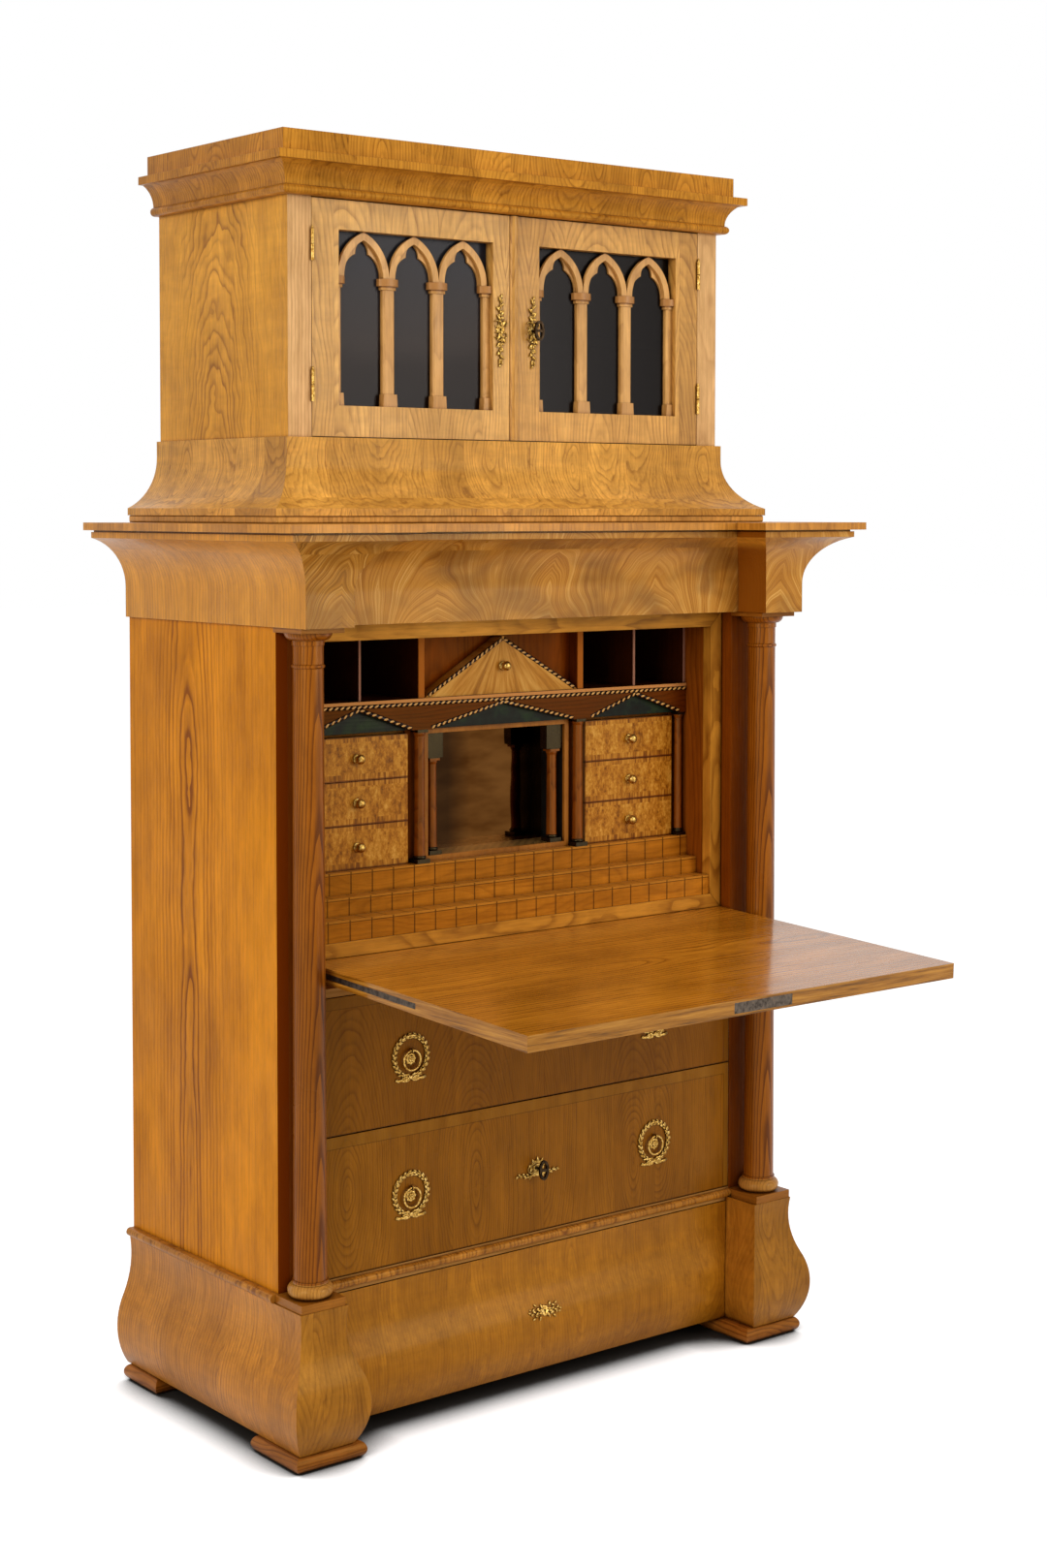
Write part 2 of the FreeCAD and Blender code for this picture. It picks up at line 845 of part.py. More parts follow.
def gable_apron():
    """The apron over the columns, cut out in three low gables."""
    peak = apron_top - gable_headroom
    side_inner = stack_inner + side_gable_margin
    side_outer = cavity_half - side_gable_inset
    side_middle = (side_inner + side_outer) / 2
    return [run_forward([
        (-cavity_half, apron_top),
        (-cavity_half, apron_bottom),
        (-side_outer, apron_bottom),
        (-side_middle, peak),
        (-side_inner, apron_bottom),
        (-middle_gable_half, apron_bottom),
        (0, peak),
        (middle_gable_half, apron_bottom),
        (side_inner, apron_bottom),
        (side_middle, peak),
        (side_outer, apron_bottom),
        (cavity_half, apron_bottom),
        (cavity_half, apron_top),
    ], apron_back, apron_front)]


def tympana():
    back = apron_back - tympanum_thickness
    edge = stack_inner - small_wall
    pieces = both_sides(board(edge, cavity_half, back, apron_back, apron_bottom, apron_top))
    return pieces + [board(-edge, edge, back, apron_back, apron_bottom, apron_top)]


def pigeonhole_unit():
    """Shelf, upright dividers, and the set-back panel with an opening for the pediment drawer."""
    pieces = [board(-cavity_half, cavity_half, lining_back, shelf_front, apron_top, shelf_top)]
    thick_outer = thick_divider_x + thick_divider
    edge = cavity_half - thin_divider
    thin_middle = (thick_outer + edge) / 2
    for left, right in (
        (thick_divider_x, thick_outer),
        (thin_middle - thin_divider / 2, thin_middle + thin_divider / 2),
        (edge, cavity_half),
    ):
        pieces += both_sides(board(left, right, lining_back, divider_front, shelf_top, ceiling_z))
    panel_back = panel_front - panel_board
    opening_top = shelf_top + (ceiling_z - shelf_top) * panel_opening_share
    pieces += both_sides(board(panel_opening_half, thick_divider_x, panel_back, panel_front,
                               shelf_top, ceiling_z))
    pieces.append(board(-panel_opening_half, panel_opening_half, panel_back, panel_front,
                        opening_top, ceiling_z))
    return pieces


def frieze_section(neck, side, back):
    """Outline of the frieze: neck, cove, fillet and quirk over a straight back."""
    foot = (neck, cove_bottom)
    head = (neck + side * frieze_cove_reach, cove_top)
    return [
        (back, frieze_bottom),
        (neck, frieze_bottom),
        foot,
        bend_middle(foot, head) + head,
        (head[0], fillet_top),
        (head[0] - side * quirk_setback, fillet_top),
        (head[0] - side * quirk_setback, frieze_top),
        (back, frieze_top),
    ]


def frieze():
    """A coved front with a block over each column, and two coved sides, mitred at the corners."""
    inner = frieze_half - frieze_wall
    inner_front = frieze_front - frieze_wall
    far = frieze_half + frieze_cove_reach
    fore = frieze_block_front + frieze_cove_reach
    side_plan = run_up([
        (inner, 0),
        (inner, frieze_block_front - frieze_wall),
        (far, fore),
        (far, 0),
    ], frieze_bottom, frieze_top)
    side = run_forward(frieze_section(frieze_half, 1, inner), 0, fore).common(side_plan)
    block_across = run_across(frieze_section(frieze_block_front, 1, inner_front),
                              frieze_block_inner - frieze_cove_reach, far)
    block_outer = run_forward(frieze_section(frieze_half, 1, 0), inner_front, fore)
    block_inside = run_forward(frieze_section(frieze_block_inner, -1, far), inner_front, fore)
    block = block_across.common(block_outer).common(block_inside).cut(side_plan)
    centre = run_across(frieze_section(frieze_front, 1, inner_front), -inner, inner)
    right, left = both_sides(block)
    front = centre.fuse([right, left]).removeSplitter()
    return [front] + both_sides(side)


def top_board():
    """The board over the frieze, which breaks forward over each column."""
    outer = frieze_half + board_reach
    inner = frieze_block_inner - board_reach
    front = frieze_block_front + board_reach
    middle = frieze_front + board_reach
    return [run_up([
        (-outer, 0),
        (-outer, front),
        (-inner, front),
        (-inner, middle),
        (inner, middle),
        (inner, front),
        (outer, front),
        (outer, 0),
    ], frieze_top, top_board_top)]


def cove_skirt():
    """The coved base of the upper case, on a frame that is set back under it."""
    def section(neck):
        head = (neck + skirt_neck_reach, skirt_cove_top)
        foot = (neck + skirt_reach, skirt_cove_bottom)
        return [
            (neck, skirt_bottom),
            (neck + skirt_reach, skirt_bottom),
            foot,
            bend_middle(head, foot) + head,
            (neck + skirt_neck_reach, skirt_top),
            (neck, skirt_top),
        ]
    outer = upper_half + seat_reach
    front = upper_depth + seat_reach
    inner = outer - seat_width
    pieces = mitred_round(section, upper_half, upper_depth, skirt_reach, skirt_bottom, skirt_top)
    pieces += both_sides(board(inner, outer, 0, front, top_board_top, skirt_bottom))
    pieces.append(board(-inner, inner, front - seat_width, front, top_board_top, skirt_bottom))
    pieces.append(board(-inner, inner, 0, seat_width, top_board_top, skirt_bottom))
    return pieces


def upper_sides():
    panel = board(upper_panel_inner, upper_half, 0, upper_stile_back, skirt_bottom, crown_top)
    stile = board(upper_stile_inner, upper_half, upper_stile_back, upper_depth, skirt_bottom, crown_top)
    return both_sides(panel) + both_sides(stile)


def upper_boards():
    """Bottom, shelf and top of the upper case, and the rails over and under the doors."""
    def level(bottom, top, front):
        return board(-upper_panel_inner, upper_panel_inner, upper_back, front, bottom, top)
    shelf_bottom = skirt_top + door_zone_height * shelf_height_share
    pieces = [level(skirt_top - upper_board, skirt_top, upper_stile_back)]
    pieces.append(level(shelf_bottom, shelf_bottom + shelf_board, door_back - shelf_front_gap))
    pieces.append(level(crown_bottom, crown_bottom + upper_board, upper_stile_back))
    for bottom, top in ((skirt_bottom, skirt_top), (crown_bottom, crown_top)):
        pieces.append(board(-upper_stile_inner, upper_stile_inner,
                            upper_stile_back, upper_depth, bottom, top))
    return pieces


def crown_moulding():
    """Bead, cove and fillet under the attic."""
    def section(neck):
        bead_flat = neck + crown_bead_reach - crown_bead_height / 2
        foot = (neck + crown_cove_foot, crown_cove_bottom)
        head = (neck + crown_cove_reach, crown_cove_top)
        return [
            (neck, crown_bottom),
            (bead_flat, crown_bottom),
            (neck + crown_bead_reach, crown_bottom + crown_bead_height / 2, bead_flat, crown_cove_bottom),
            foot,
            bend_middle(foot, head) + head,
            (neck + crown_fillet_reach, crown_cove_top),
            (neck + crown_fillet_reach, crown_top),
            (neck, crown_top),
        ]
    return mitred_round(section, upper_half, upper_depth, crown_fillet_reach, crown_bottom, crown_top)


def attic():
    """A plain frame with a sunk top, which ends the cabinet."""
    def section(neck):
        return [(neck, crown_top), (neck + attic_reach, crown_top), (neck + attic_reach, attic_top),
                (neck, attic_top)]
    top_bottom = attic_top - attic_top_thickness
    pieces = mitred_round(section, upper_half, upper_depth, attic_reach, crown_top, attic_top)
    pieces.append(board(-upper_half, upper_half, 0, attic_reach, crown_top, attic_top))
    pieces.append(board(-upper_half, upper_half, attic_reach, upper_depth, top_bottom, attic_top))
    return pieces


def hinge_feet():
    """Heights of the feet of the two hinges of a door."""
    return (door_bottom + hinge_foot_inset, door_top - hinge_head_inset - hinge_height)


def knuckle(side, bottom, top):
    return Part.makeCylinder(knuckle_radius, top - bottom, Vector(side * hinge_x, -hinge_depth, bottom))


def leaf(side, near, far, bottom, top):
    """The part of a hinge that lies in the joint between a door and its stile."""
    left, right = sorted((side * near, side * far))
    return board(left, right, upper_depth - leaf_width, hinge_depth - knuckle_radius / 2, bottom, top)


def case_hinges():
    """Lower knuckles on the case, each with the pin that the upper knuckle turns on."""
    pieces = []
    for foot in hinge_feet():
        middle = foot + hinge_height / 2
        shell = knuckle(1, foot, middle - running_gap)
        pin = Part.makeCylinder(hinge_pin_radius, hinge_height - hinge_pin_inset,
                                Vector(hinge_x, -hinge_depth, foot))
        plate = leaf(1, upper_stile_inner - leaf_thickness, upper_stile_inner, foot, middle - running_gap)
        pieces += both_sides(shell.fuse([pin, plate]))
    return pieces


def fall_front():
    """The writing flap, which shows open, and its ironwork let in flush."""
    flap_front = case_depth
    flap_back = case_depth - flap_thickness
    flap = board(-flap_half, flap_half, flap_back, flap_front, pivot_z - flap_heel, flap_top)
    strap_box = board(flap_half - strap_thickness, flap_half,
                      pivot_depth - strap_width / 2, pivot_depth + strap_width / 2,
                      pivot_z - strap_foot, pivot_z - strap_foot + strap_length)
    pin = Part.makeCylinder(pivot_radius, pivot_length,
                            Vector(flap_half - strap_thickness, -pivot_depth, pivot_z), Vector(1, 0, 0))
    plate = board(-lock_plate_left, lock_plate_right,
                  pivot_depth - lock_plate_width / 2, pivot_depth + lock_plate_width / 2,
                  flap_top - lock_plate_thickness, flap_top)
    straps = both_sides(strap_box.fuse(pin))
    flap = flap.cut([plate] + both_sides(strap_box))
    pieces = [flap, plate] + straps
    for piece in pieces:
        piece.rotate(Vector(0, -pivot_depth, pivot_z), Vector(1, 0, 0), flap_turn_degrees)
    return pieces[:1], pieces[1:]


def drawer_box(half, bottom, top):
    """Two sides, a back and a bottom behind a long drawer front."""
    back = back_thickness + drawer_back_space
    inner = half - drawer_side
    pieces = both_sides(board(inner, half, back, stile_back, bottom, top))
    pieces.append(board(-inner, inner, back, back + drawer_back, bottom, top))
    pieces.append(board(-inner, inner, back + drawer_back, stile_back, bottom, bottom + drawer_bottom))
    return pieces


def plinth_drawer_front():
    """A swelling front, coped at its ends to the swelling blocks."""
    half_outline = ogee(block_inner - cope_gap, -1, 0)
    reach = case_depth + block_width
    right, left = both_sides(run_forward(half_outline, stile_back, reach))
    ends = right.fuse(left).removeSplitter()
    face_run = run_across(ogee(case_depth, 1, stile_back), -block_inner, block_inner)
    zone = board(-block_inner, block_inner, stile_back, reach,
                 plinth_bottom + drawer_reveal, rail_bottom - drawer_reveal)
    return [face_run.common(ends).common(zone)]


def plinth_drawer_escutcheon():
    """An oval plate that follows the swelling front."""
    half = plinth_escutcheon_width / 2
    reach = case_depth + block_width
    outline = oval(0, plinth_bottom + plinth_escutcheon_rise,
                   plinth_escutcheon_width, plinth_escutcheon_height, case_depth, reach)
    outer = run_across(ogee(case_depth + escutcheon_thickness, 1, stile_back), -half, half)
    inner = run_across(ogee(case_depth, 1, stile_back), -half, half)
    return [outer.cut(inner).common(outline)]


def keyed_front(bottom, top, key_z):
    """A flat drawer front bored for a key."""
    half = opening_half - drawer_reveal
    plate = board(-half, half, case_depth - front_thickness, case_depth, bottom, top)
    bore = rod_forward(key_shank_radius + pin_gap, 0, key_z, case_depth - key_shank_depth, case_depth)
    return [plate.cut(bore)]


def wreath_pull(x, z):
    """An oval wreath with a bow, and a rosette with the eye that the ring hangs in."""
    front = case_depth + wreath_thickness
    centre = z + wreath_rise
    outer = oval(x, centre, wreath_width, wreath_height, case_depth, front)
    inner = oval(x, centre, wreath_width - 2 * wreath_band, wreath_height - 2 * wreath_band,
                 case_depth, front)
    bow_top = centre - wreath_height / 2 + wreath_band
    bow_bottom = bow_top - bow_height
    bow_waist = bow_top - bow_height / 2
    bow = run_forward([
        (x - bow_width / 2, bow_bottom),
        (x - wreath_band / 2, bow_waist),
        (x, bow_bottom),
        (x + wreath_band / 2, bow_waist),
        (x + bow_width / 2, bow_bottom),
        (x + bow_width / 2 - wreath_band, bow_top),
        (x - bow_width / 2 + wreath_band, bow_top),
    ], case_depth, front)
    dome_radius = (rosette_radius ** 2 + rosette_height ** 2) / (2 * rosette_height)
    dome_half_turn = math.asin(rosette_radius / dome_radius) / 2
    dome_drop = dome_radius * (1 - math.cos(dome_half_turn))
    tip = front + rosette_height
    rosette = turned_forward([
        (0, case_depth),
        (rosette_radius, case_depth),
        (rosette_radius, front),
        (dome_radius * math.sin(dome_half_turn), tip - dome_drop, 0, tip),
    ], x, z + rosette_rise)
    pivot = z + ring_radius
    ring_depth = front + ring_wire + ring_play
    eye_front = ring_depth + eye_radius
    eye = rod_forward(eye_radius, x, pivot, case_depth, eye_front)
    bore = Part.makeCylinder(ring_wire + ring_play, eye_radius * 2,
                             Vector(x - eye_radius, -ring_depth, pivot), Vector(1, 0, 0))
    foot = board(x - eye_width / 2, x + eye_width / 2, case_depth, front, z, pivot)
    eye = eye.cut(bore)
    return [outer.cut(inner).fuse(bow), rosette.fuse([eye, foot])]


def ring(x, z):
    depth = case_depth + wreath_thickness + ring_wire + ring_play
    return [Part.makeTorus(ring_radius, ring_wire, Vector(x, -depth, z), Vector(0, 1, 0))]


def drawer_escutcheon(z):
    """A plate with a wing to each side of the keyhole."""
    front = case_depth + escutcheon_thickness
    shield = oval(0, z, escutcheon_height, escutcheon_height, case_depth, front)
    wings = oval(0, z - escutcheon_height / 2 + escutcheon_wing / 2,
                 escutcheon_width, escutcheon_wing, case_depth, front)
    keyhole = rod_forward(key_shank_radius + pin_gap, 0, z, case_depth, front)
    return shield.fuse(wings).removeSplitter().cut(keyhole)


def drawer_brasses(z):
    return wreath_pull(pull_x, z) + wreath_pull(-pull_x, z) + [drawer_escutcheon(z + keyhole_lift)]


def key(x, z, surface, lock_depth):
    """A key with an oval bow, upright in its lock."""
    bow_centre = surface + key_reach
    shank = rod_forward(key_shank_radius, x, z, surface - lock_depth, bow_centre)
    rim = oval(x, z, key_bow_width, key_bow_height, bow_centre, bow_centre + 2 * key_bow_wire)
    hole = oval(x, z, key_bow_width - 4 * key_bow_wire, key_bow_height - 4 * key_bow_wire,
                bow_centre, bow_centre + 2 * key_bow_wire)
    bar = board(x - key_bow_width / 2 + key_bow_wire, x + key_bow_width / 2 - key_bow_wire,
                bow_centre, bow_centre + 2 * key_bow_wire, z - key_bow_wire, z + key_bow_wire)
    return [rim.cut(hole).fuse([bar, shank])]


def knob(x, z, depth):
    """A round knob on a short stem."""
    tip = depth + knob_length
    centre = tip - knob_radius
    waist = centre - math.sqrt(knob_radius ** 2 - knob_stem_radius ** 2)
    return turned_forward([
        (0, depth),
        (knob_stem_radius, depth),
        (knob_stem_radius, waist),
        (knob_radius, centre, 0, tip),
    ], x, z)


def small_drawer(side, row):
    """One small drawer: front, two sides, back, bottom and knob."""
    floor = unit_floor + row * small_drawer_pitch
    left, right = sorted((side * (stack_inner + small_drawer_gap), side * (stack_outer - small_drawer_gap)))
    front_back = small_front - small_front_thickness
    box_back = front_back - small_drawer_length + small_wall
    box_bottom = floor + runner_thickness / 2 + running_gap
    box_top = floor + small_drawer_pitch - runner_thickness
    middle = (left + right) / 2
    return [
        board(left, right, front_back, small_front,
              floor + small_drawer_gap / 2, floor + small_drawer_pitch - small_drawer_gap / 2),
        board(left, left + small_side, box_back, front_back, box_bottom, box_top),
        board(right - small_side, right, box_back, front_back, box_bottom, box_top),
        board(left + small_side, right - small_side, box_back, box_back + small_side, box_bottom, box_top),
        board(left + small_side, right - small_side, box_back + small_side, front_back,
              box_bottom, box_bottom + small_bottom),
        knob(middle, floor + small_drawer_pitch / 2, small_front),
    ]


def pediment_drawer():
    """A drawer whose front is a low gable."""
    bottom = shelf_top + running_gap
    back = panel_front + running_gap
    peak = ceiling_z - pediment_headroom
    front = run_forward([(-pediment_half, bottom), (pediment_half, bottom), (0, peak)], back, divider_front)
    box_back = back - pediment_box_length
    top = bottom + (ceiling_z - shelf_top) * pediment_box_share
    inner = pediment_box_half - small_side
    pieces = [front, knob(0, bottom + (peak - bottom) * pediment_knob_share, divider_front)]
    pieces += both_sides(board(inner, pediment_box_half, box_back, back, bottom, top))
    pieces.append(board(-inner, inner, box_back, box_back + small_side, bottom, top))
    pieces.append(board(-inner, inner, box_back + small_side, back, bottom, bottom + small_bottom))
    return pieces


def door_frame(side):
    """Stiles and rails rebated for the glass. The right door carries the bead of the meeting edges."""
    if side > 0:
        meeting = meeting_offset - door_gap / 2
        inner_edge = -meeting
    else:
        inner_edge = meeting_offset + door_gap / 2
    inner_stile = board(inner_edge, glass_inner, door_back, upper_depth, door_bottom, door_top)
    outer_stile = board(glass_outer, door_outer, door_back, upper_depth, door_bottom, door_top)
    lower_rail = board(glass_inner, glass_outer, door_back, upper_depth, door_bottom, glass_bottom)
    upper_rail = board(glass_inner, glass_outer, door_back, upper_depth, glass_top, door_top)
    seat = board(glass_inner - rebate, glass_outer + rebate, door_back, glass_front,
                 glass_bottom - rebate, glass_top + rebate)
    pieces = [piece.cut(seat) for piece in (inner_stile, outer_stile, lower_rail, upper_rail)]
    if side > 0:
        nose = bead_width / 2
        pieces.append(run_up([
            (inner_edge, upper_depth),
            (inner_edge + nose, upper_depth + bead_proud, inner_edge + bead_width, upper_depth),
        ], door_bottom, door_top))
    return on_side(pieces, side)


def on_side(pieces, side):
    """Pieces drawn for the right door, mirrored when they are for the left one."""
    if side > 0:
        return pieces
    return [piece.mirror(Vector(0, 0, 0), Vector(1, 0, 0)) for piece in pieces]


def door_glass(side):
    pane = board(glass_inner - rebate, glass_outer + rebate, door_back, glass_front,
                 glass_bottom - rebate, glass_top + rebate)
    return on_side([pane], side)


def pointed(middle, radius):
    """Left foot, haunch, peak, haunch and right foot of a pointed arch over a lancet."""
    half = radius - arch_centre
    turn = math.acos(arch_centre / radius)
    haunch_x = radius * math.cos(turn / 2) - arch_centre
    haunch_z = springing + radius * math.sin(turn / 2)
    peak_z = springing + radius * math.sin(turn)
    return [
        (middle - half, springing),
        (middle - haunch_x, haunch_z, middle, peak_z),
        (middle + haunch_x, haunch_z, middle + half, springing),
    ]


def cusped_arch(middle):
    """The plate behind an arch, whose inner edge is cut in two foils each side."""
    inner_radius = arch_outer - arch_bar
    inner_half = inner_radius - arch_centre
    rise = math.sqrt(inner_radius ** 2 - arch_centre ** 2)

    def at(index, side):
        x = middle + side * inner_half * foil_half_shares[index]
        return (x, springing + rise * foil_rise_shares[index])
    right = [at(0, 1), at(1, 1) + at(2, 1), at(3, 1) + at(4, 1)]
    inner = right + [at(3, -1) + at(2, -1), at(1, -1) + at(0, -1)]
    return run_forward(pointed(middle, arch_outer - cusp_cover) + inner, glass_front, cusp_front)


def lancet_arch(middle):
    """The bar of a pointed arch, of one width from foot to peak."""
    left_foot, left_rise, right_fall = pointed(middle, arch_outer - arch_bar)
    inner = [
        right_fall[2:],
        right_fall[:2] + left_rise[2:],
        left_rise[:2] + left_foot,
    ]
    return run_forward(pointed(middle, arch_outer) + inner, cusp_front, tracery_front)


def tracery_shaft(middle):
    """A chamfered shaft with its base, its necking and a round-fronted capital."""
    half = shaft_width / 2
    base_half = base_width / 2
    base_top = glass_bottom + base_height
    necking_bottom = capital_bottom - necking_height
    shaft = run_up([
        (middle - half, glass_front),
        (middle - half, tracery_front - shaft_chamfer),
        (middle - half + shaft_chamfer, tracery_front),
        (middle + half - shaft_chamfer, tracery_front),
        (middle + half, tracery_front - shaft_chamfer),
        (middle + half, glass_front),
    ], base_top, necking_bottom)
    base = run_forward([
        (middle - base_half, glass_bottom),
        (middle + base_half, glass_bottom),
        (middle + base_half - base_batter, base_top),
        (middle - base_half + base_batter, base_top),
    ], glass_front, tracery_front + base_proud)

    def disc(width, proud, bottom, top):
        edge = tracery_front - capital_flat
        return run_up([
            (middle - width / 2, glass_front),
            (middle - width / 2, edge),
            (middle, tracery_front + proud, middle + width / 2, edge),
            (middle + width / 2, glass_front),
        ], bottom, top)
    necking = disc(necking_width, capital_proud / 3, necking_bottom, capital_bottom)
    capital = disc(capital_width, capital_proud, capital_bottom, springing)
    return [base, shaft, necking, capital]


def door_tracery(side):
    """Three cusped lancets on shafts, with half shafts against the stiles."""
    first = glass_inner + lancet_margin + lancet_pitch / 2
    pieces = []
    for index in range(lancets):
        middle = first + index * lancet_pitch
        pieces += [lancet_arch(middle), cusped_arch(middle)]
    for index in range(1, lancets):
        pieces += tracery_shaft(first + (index - 0.5) * lancet_pitch)
    opening = board(glass_inner, glass_outer, glass_front, upper_depth + capital_proud,
                    glass_bottom, glass_top)
    for middle in (glass_inner + half_shaft_width - shaft_width / 2,
                   glass_outer - half_shaft_width + shaft_width / 2):
        pieces += [piece.common(opening) for piece in tracery_shaft(middle)]
    return on_side(pieces, side)


def door_brasses(side):
    """Upper knuckles of the hinges and the tall plate round the keyhole."""
    pieces = []
    for foot in hinge_feet():
        middle = foot + hinge_height / 2
        shell = knuckle(1, middle, foot + hinge_height)
        plate = leaf(1, door_outer, door_outer + leaf_thickness, middle, foot + hinge_height)
        bore = Part.makeCylinder(hinge_pin_radius + pin_gap, hinge_height / 2,
                                 Vector(hinge_x, -hinge_depth, middle))
        pieces.append(shell.fuse(plate).cut(bore))
    front = upper_depth + escutcheon_thickness
    plate = oval(door_plate_x, keyhole_z - door_plate_drop, door_plate_width, door_plate_height,
                 upper_depth, front)
    keyhole = rod_forward(key_shank_radius + pin_gap, door_plate_x, keyhole_z, upper_depth, front)
    pieces.append(plate.cut(keyhole))
    return on_side(pieces, side)


def drilled(frame_pieces):
    """The frame of the right door, bored for its key."""
    bore = rod_forward(key_shank_radius + pin_gap, door_plate_x, keyhole_z,
                       upper_depth - key_shank_depth, upper_depth)
    return [frame_pieces[0].cut(bore)] + frame_pieces[1:]


lower_pull_z = (lower_front_bottom + lower_front_top) / 2 - pull_drop
upper_pull_z = (upper_front_bottom + upper_front_top) / 2 - pull_drop
lower_key_z = lower_pull_z + keyhole_lift
upper_key_z = upper_pull_z + keyhole_lift
flap_piece, flap_irons = fall_front()
box_half = opening_half - drawer_reveal - drawer_reveal

nodes = {
    "feet": feet(),
    "plinth_sides": plinth_sides(),
    "corner_blocks": corner_blocks(),
    "column_blocks": column_blocks(),
    "front_columns": front_columns(),
    "plinth_mouldings": plinth_mouldings(),
    "lower_sides": lower_sides(),
    "front_stiles": front_stiles(),
    "inner_boards": inner_boards(),
    "back_boards": back_boards(),
    "desk_frame": desk_frame(),
    "desk_lining": desk_lining(),
    "desk_steps": desk_steps(),
    "small_drawer_cases": small_drawer_cases(),
    "niche_frame": niche_frame(),
    "niche_mirror": niche_mirror(),
    "desk_columns": desk_columns(),
    "gable_apron": gable_apron(),
    "tympana": tympana(),
    "pigeonhole_unit": pigeonhole_unit(),
    "frieze": frieze(),
    "top_board": top_board(),
    "cove_skirt": cove_skirt(),
    "upper_sides": upper_sides(),
    "upper_boards": upper_boards(),
    "crown_moulding": crown_moulding(),
    "attic": attic(),
    "case_hinges": case_hinges(),
    "fall_front": flap_piece,
    "flap_ironwork": flap_irons,
    "plinth_drawer_front": plinth_drawer_front(),
    "plinth_drawer_box": drawer_box(guide_inner - drawer_gap, plinth_bottom + board_thickness + running_gap,
                                    rail_bottom - plinth_box_headroom),
    "plinth_drawer_escutcheon": plinth_drawer_escutcheon(),
    "lower_drawer_front": keyed_front(lower_front_bottom, lower_front_top, lower_key_z),
    "lower_drawer_box": drawer_box(box_half, rail_top + running_gap,
                                   middle_board_top - board_thickness - drawer_headroom),
    "lower_drawer_brasses": drawer_brasses(lower_pull_z),
    "drawer_key": key(0, lower_key_z, case_depth, key_shank_depth),
    "upper_drawer_front": keyed_front(upper_front_bottom, upper_front_top, upper_key_z),
    "upper_drawer_box": drawer_box(box_half, middle_board_top + running_gap,
                                   desk_board_bottom - drawer_headroom),
    "upper_drawer_brasses": drawer_brasses(upper_pull_z),
    "pediment_drawer": pediment_drawer(),
    "cabinet_key": key(door_plate_x, keyhole_z, upper_depth, key_shank_depth),
}
for level_name, pull_z in (("lower", lower_pull_z), ("upper", upper_pull_z)):
    for side_name, side in (("left", -1), ("right", 1)):
        nodes[f"{level_name}_{side_name}_ring"] = ring(side * pull_x, pull_z)
for side_name, side in (("left", -1), ("right", 1)):
    for row in range(small_drawer_rows):
        nodes[f"small_drawer_{side_name}_{row + 1}"] = small_drawer(side, row)
    frame_pieces = door_frame(side)
    nodes[f"{side_name}_door_frame"] = drilled(frame_pieces) if side > 0 else frame_pieces
    nodes[f"{side_name}_door_tracery"] = door_tracery(side)
    nodes[f"{side_name}_door_glass"] = door_glass(side)
    nodes[f"{side_name}_door_brasses"] = door_brasses(side)

os.makedirs("parts", exist_ok=True)
for name, pieces in nodes.items():
    shape = pieces[0] if len(pieces) == 1 else Part.makeCompound(pieces)
    shape.translate(Vector(0, overall_depth / 2, 0))
    shape.exportStep(f"parts/{name}.step")
print(len(nodes), "nodes,", sum(len(pieces) for pieces in nodes.values()), "pieces,",
      "height", round(attic_top, 1), "depth", round(overall_depth, 1))
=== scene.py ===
import math

import bmesh
import bpy
from mathutils import Matrix, Vector
from mathutils.bvhtree import BVHTree


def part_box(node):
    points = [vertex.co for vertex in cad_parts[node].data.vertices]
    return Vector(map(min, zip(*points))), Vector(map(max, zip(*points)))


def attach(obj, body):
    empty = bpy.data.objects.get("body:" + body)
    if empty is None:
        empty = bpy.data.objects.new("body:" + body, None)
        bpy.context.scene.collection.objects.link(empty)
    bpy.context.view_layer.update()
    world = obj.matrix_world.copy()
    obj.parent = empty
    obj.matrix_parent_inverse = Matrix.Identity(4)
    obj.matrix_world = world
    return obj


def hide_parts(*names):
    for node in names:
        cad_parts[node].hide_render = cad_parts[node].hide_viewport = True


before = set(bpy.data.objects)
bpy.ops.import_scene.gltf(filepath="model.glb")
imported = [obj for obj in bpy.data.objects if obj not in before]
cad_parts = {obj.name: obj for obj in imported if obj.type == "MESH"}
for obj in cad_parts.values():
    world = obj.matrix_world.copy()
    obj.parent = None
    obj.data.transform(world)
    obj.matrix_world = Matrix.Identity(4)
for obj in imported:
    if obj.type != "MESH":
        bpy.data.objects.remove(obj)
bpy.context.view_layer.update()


# The camera stands to the left of the cabinet at eye height and looks a little down at it.
# It was fitted to the edges of the case, so its shift is the one that the picture was cut with.
def stand(name, made_of):
    """Puts a new object in the scene."""
    made = bpy.data.objects.new(name, made_of)
    bpy.context.scene.collection.objects.link(made)
    return made


picture_width, picture_height = 1080, 1618
focal_pixels = 2502.8
middle_across, middle_down = 526.86, 655.56
sensor = 36.0
eye_place = (-2.57508, -3.15912, 1.50544)
look = Vector((0.617730, 0.784658, -0.052164))
right = Vector((0.785756, -0.618536, 0.000890))
up = Vector((0.031567, 0.041538, 0.998638))
eye = stand("eye", bpy.data.cameras.new("eye"))
eye.matrix_world = Matrix.Translation(eye_place) @ Matrix((right, up, -look)).transposed().to_4x4()
eye.data.sensor_fit = "VERTICAL"
eye.data.sensor_height = sensor
eye.data.lens = focal_pixels / picture_height * sensor
eye.data.shift_x = (picture_width / 2 - middle_across) / picture_height
eye.data.shift_y = (middle_down - picture_height / 2) / picture_height
eye.data.clip_end = 60
bpy.context.scene.camera = eye
bpy.context.scene.view_settings.view_transform = "Standard"


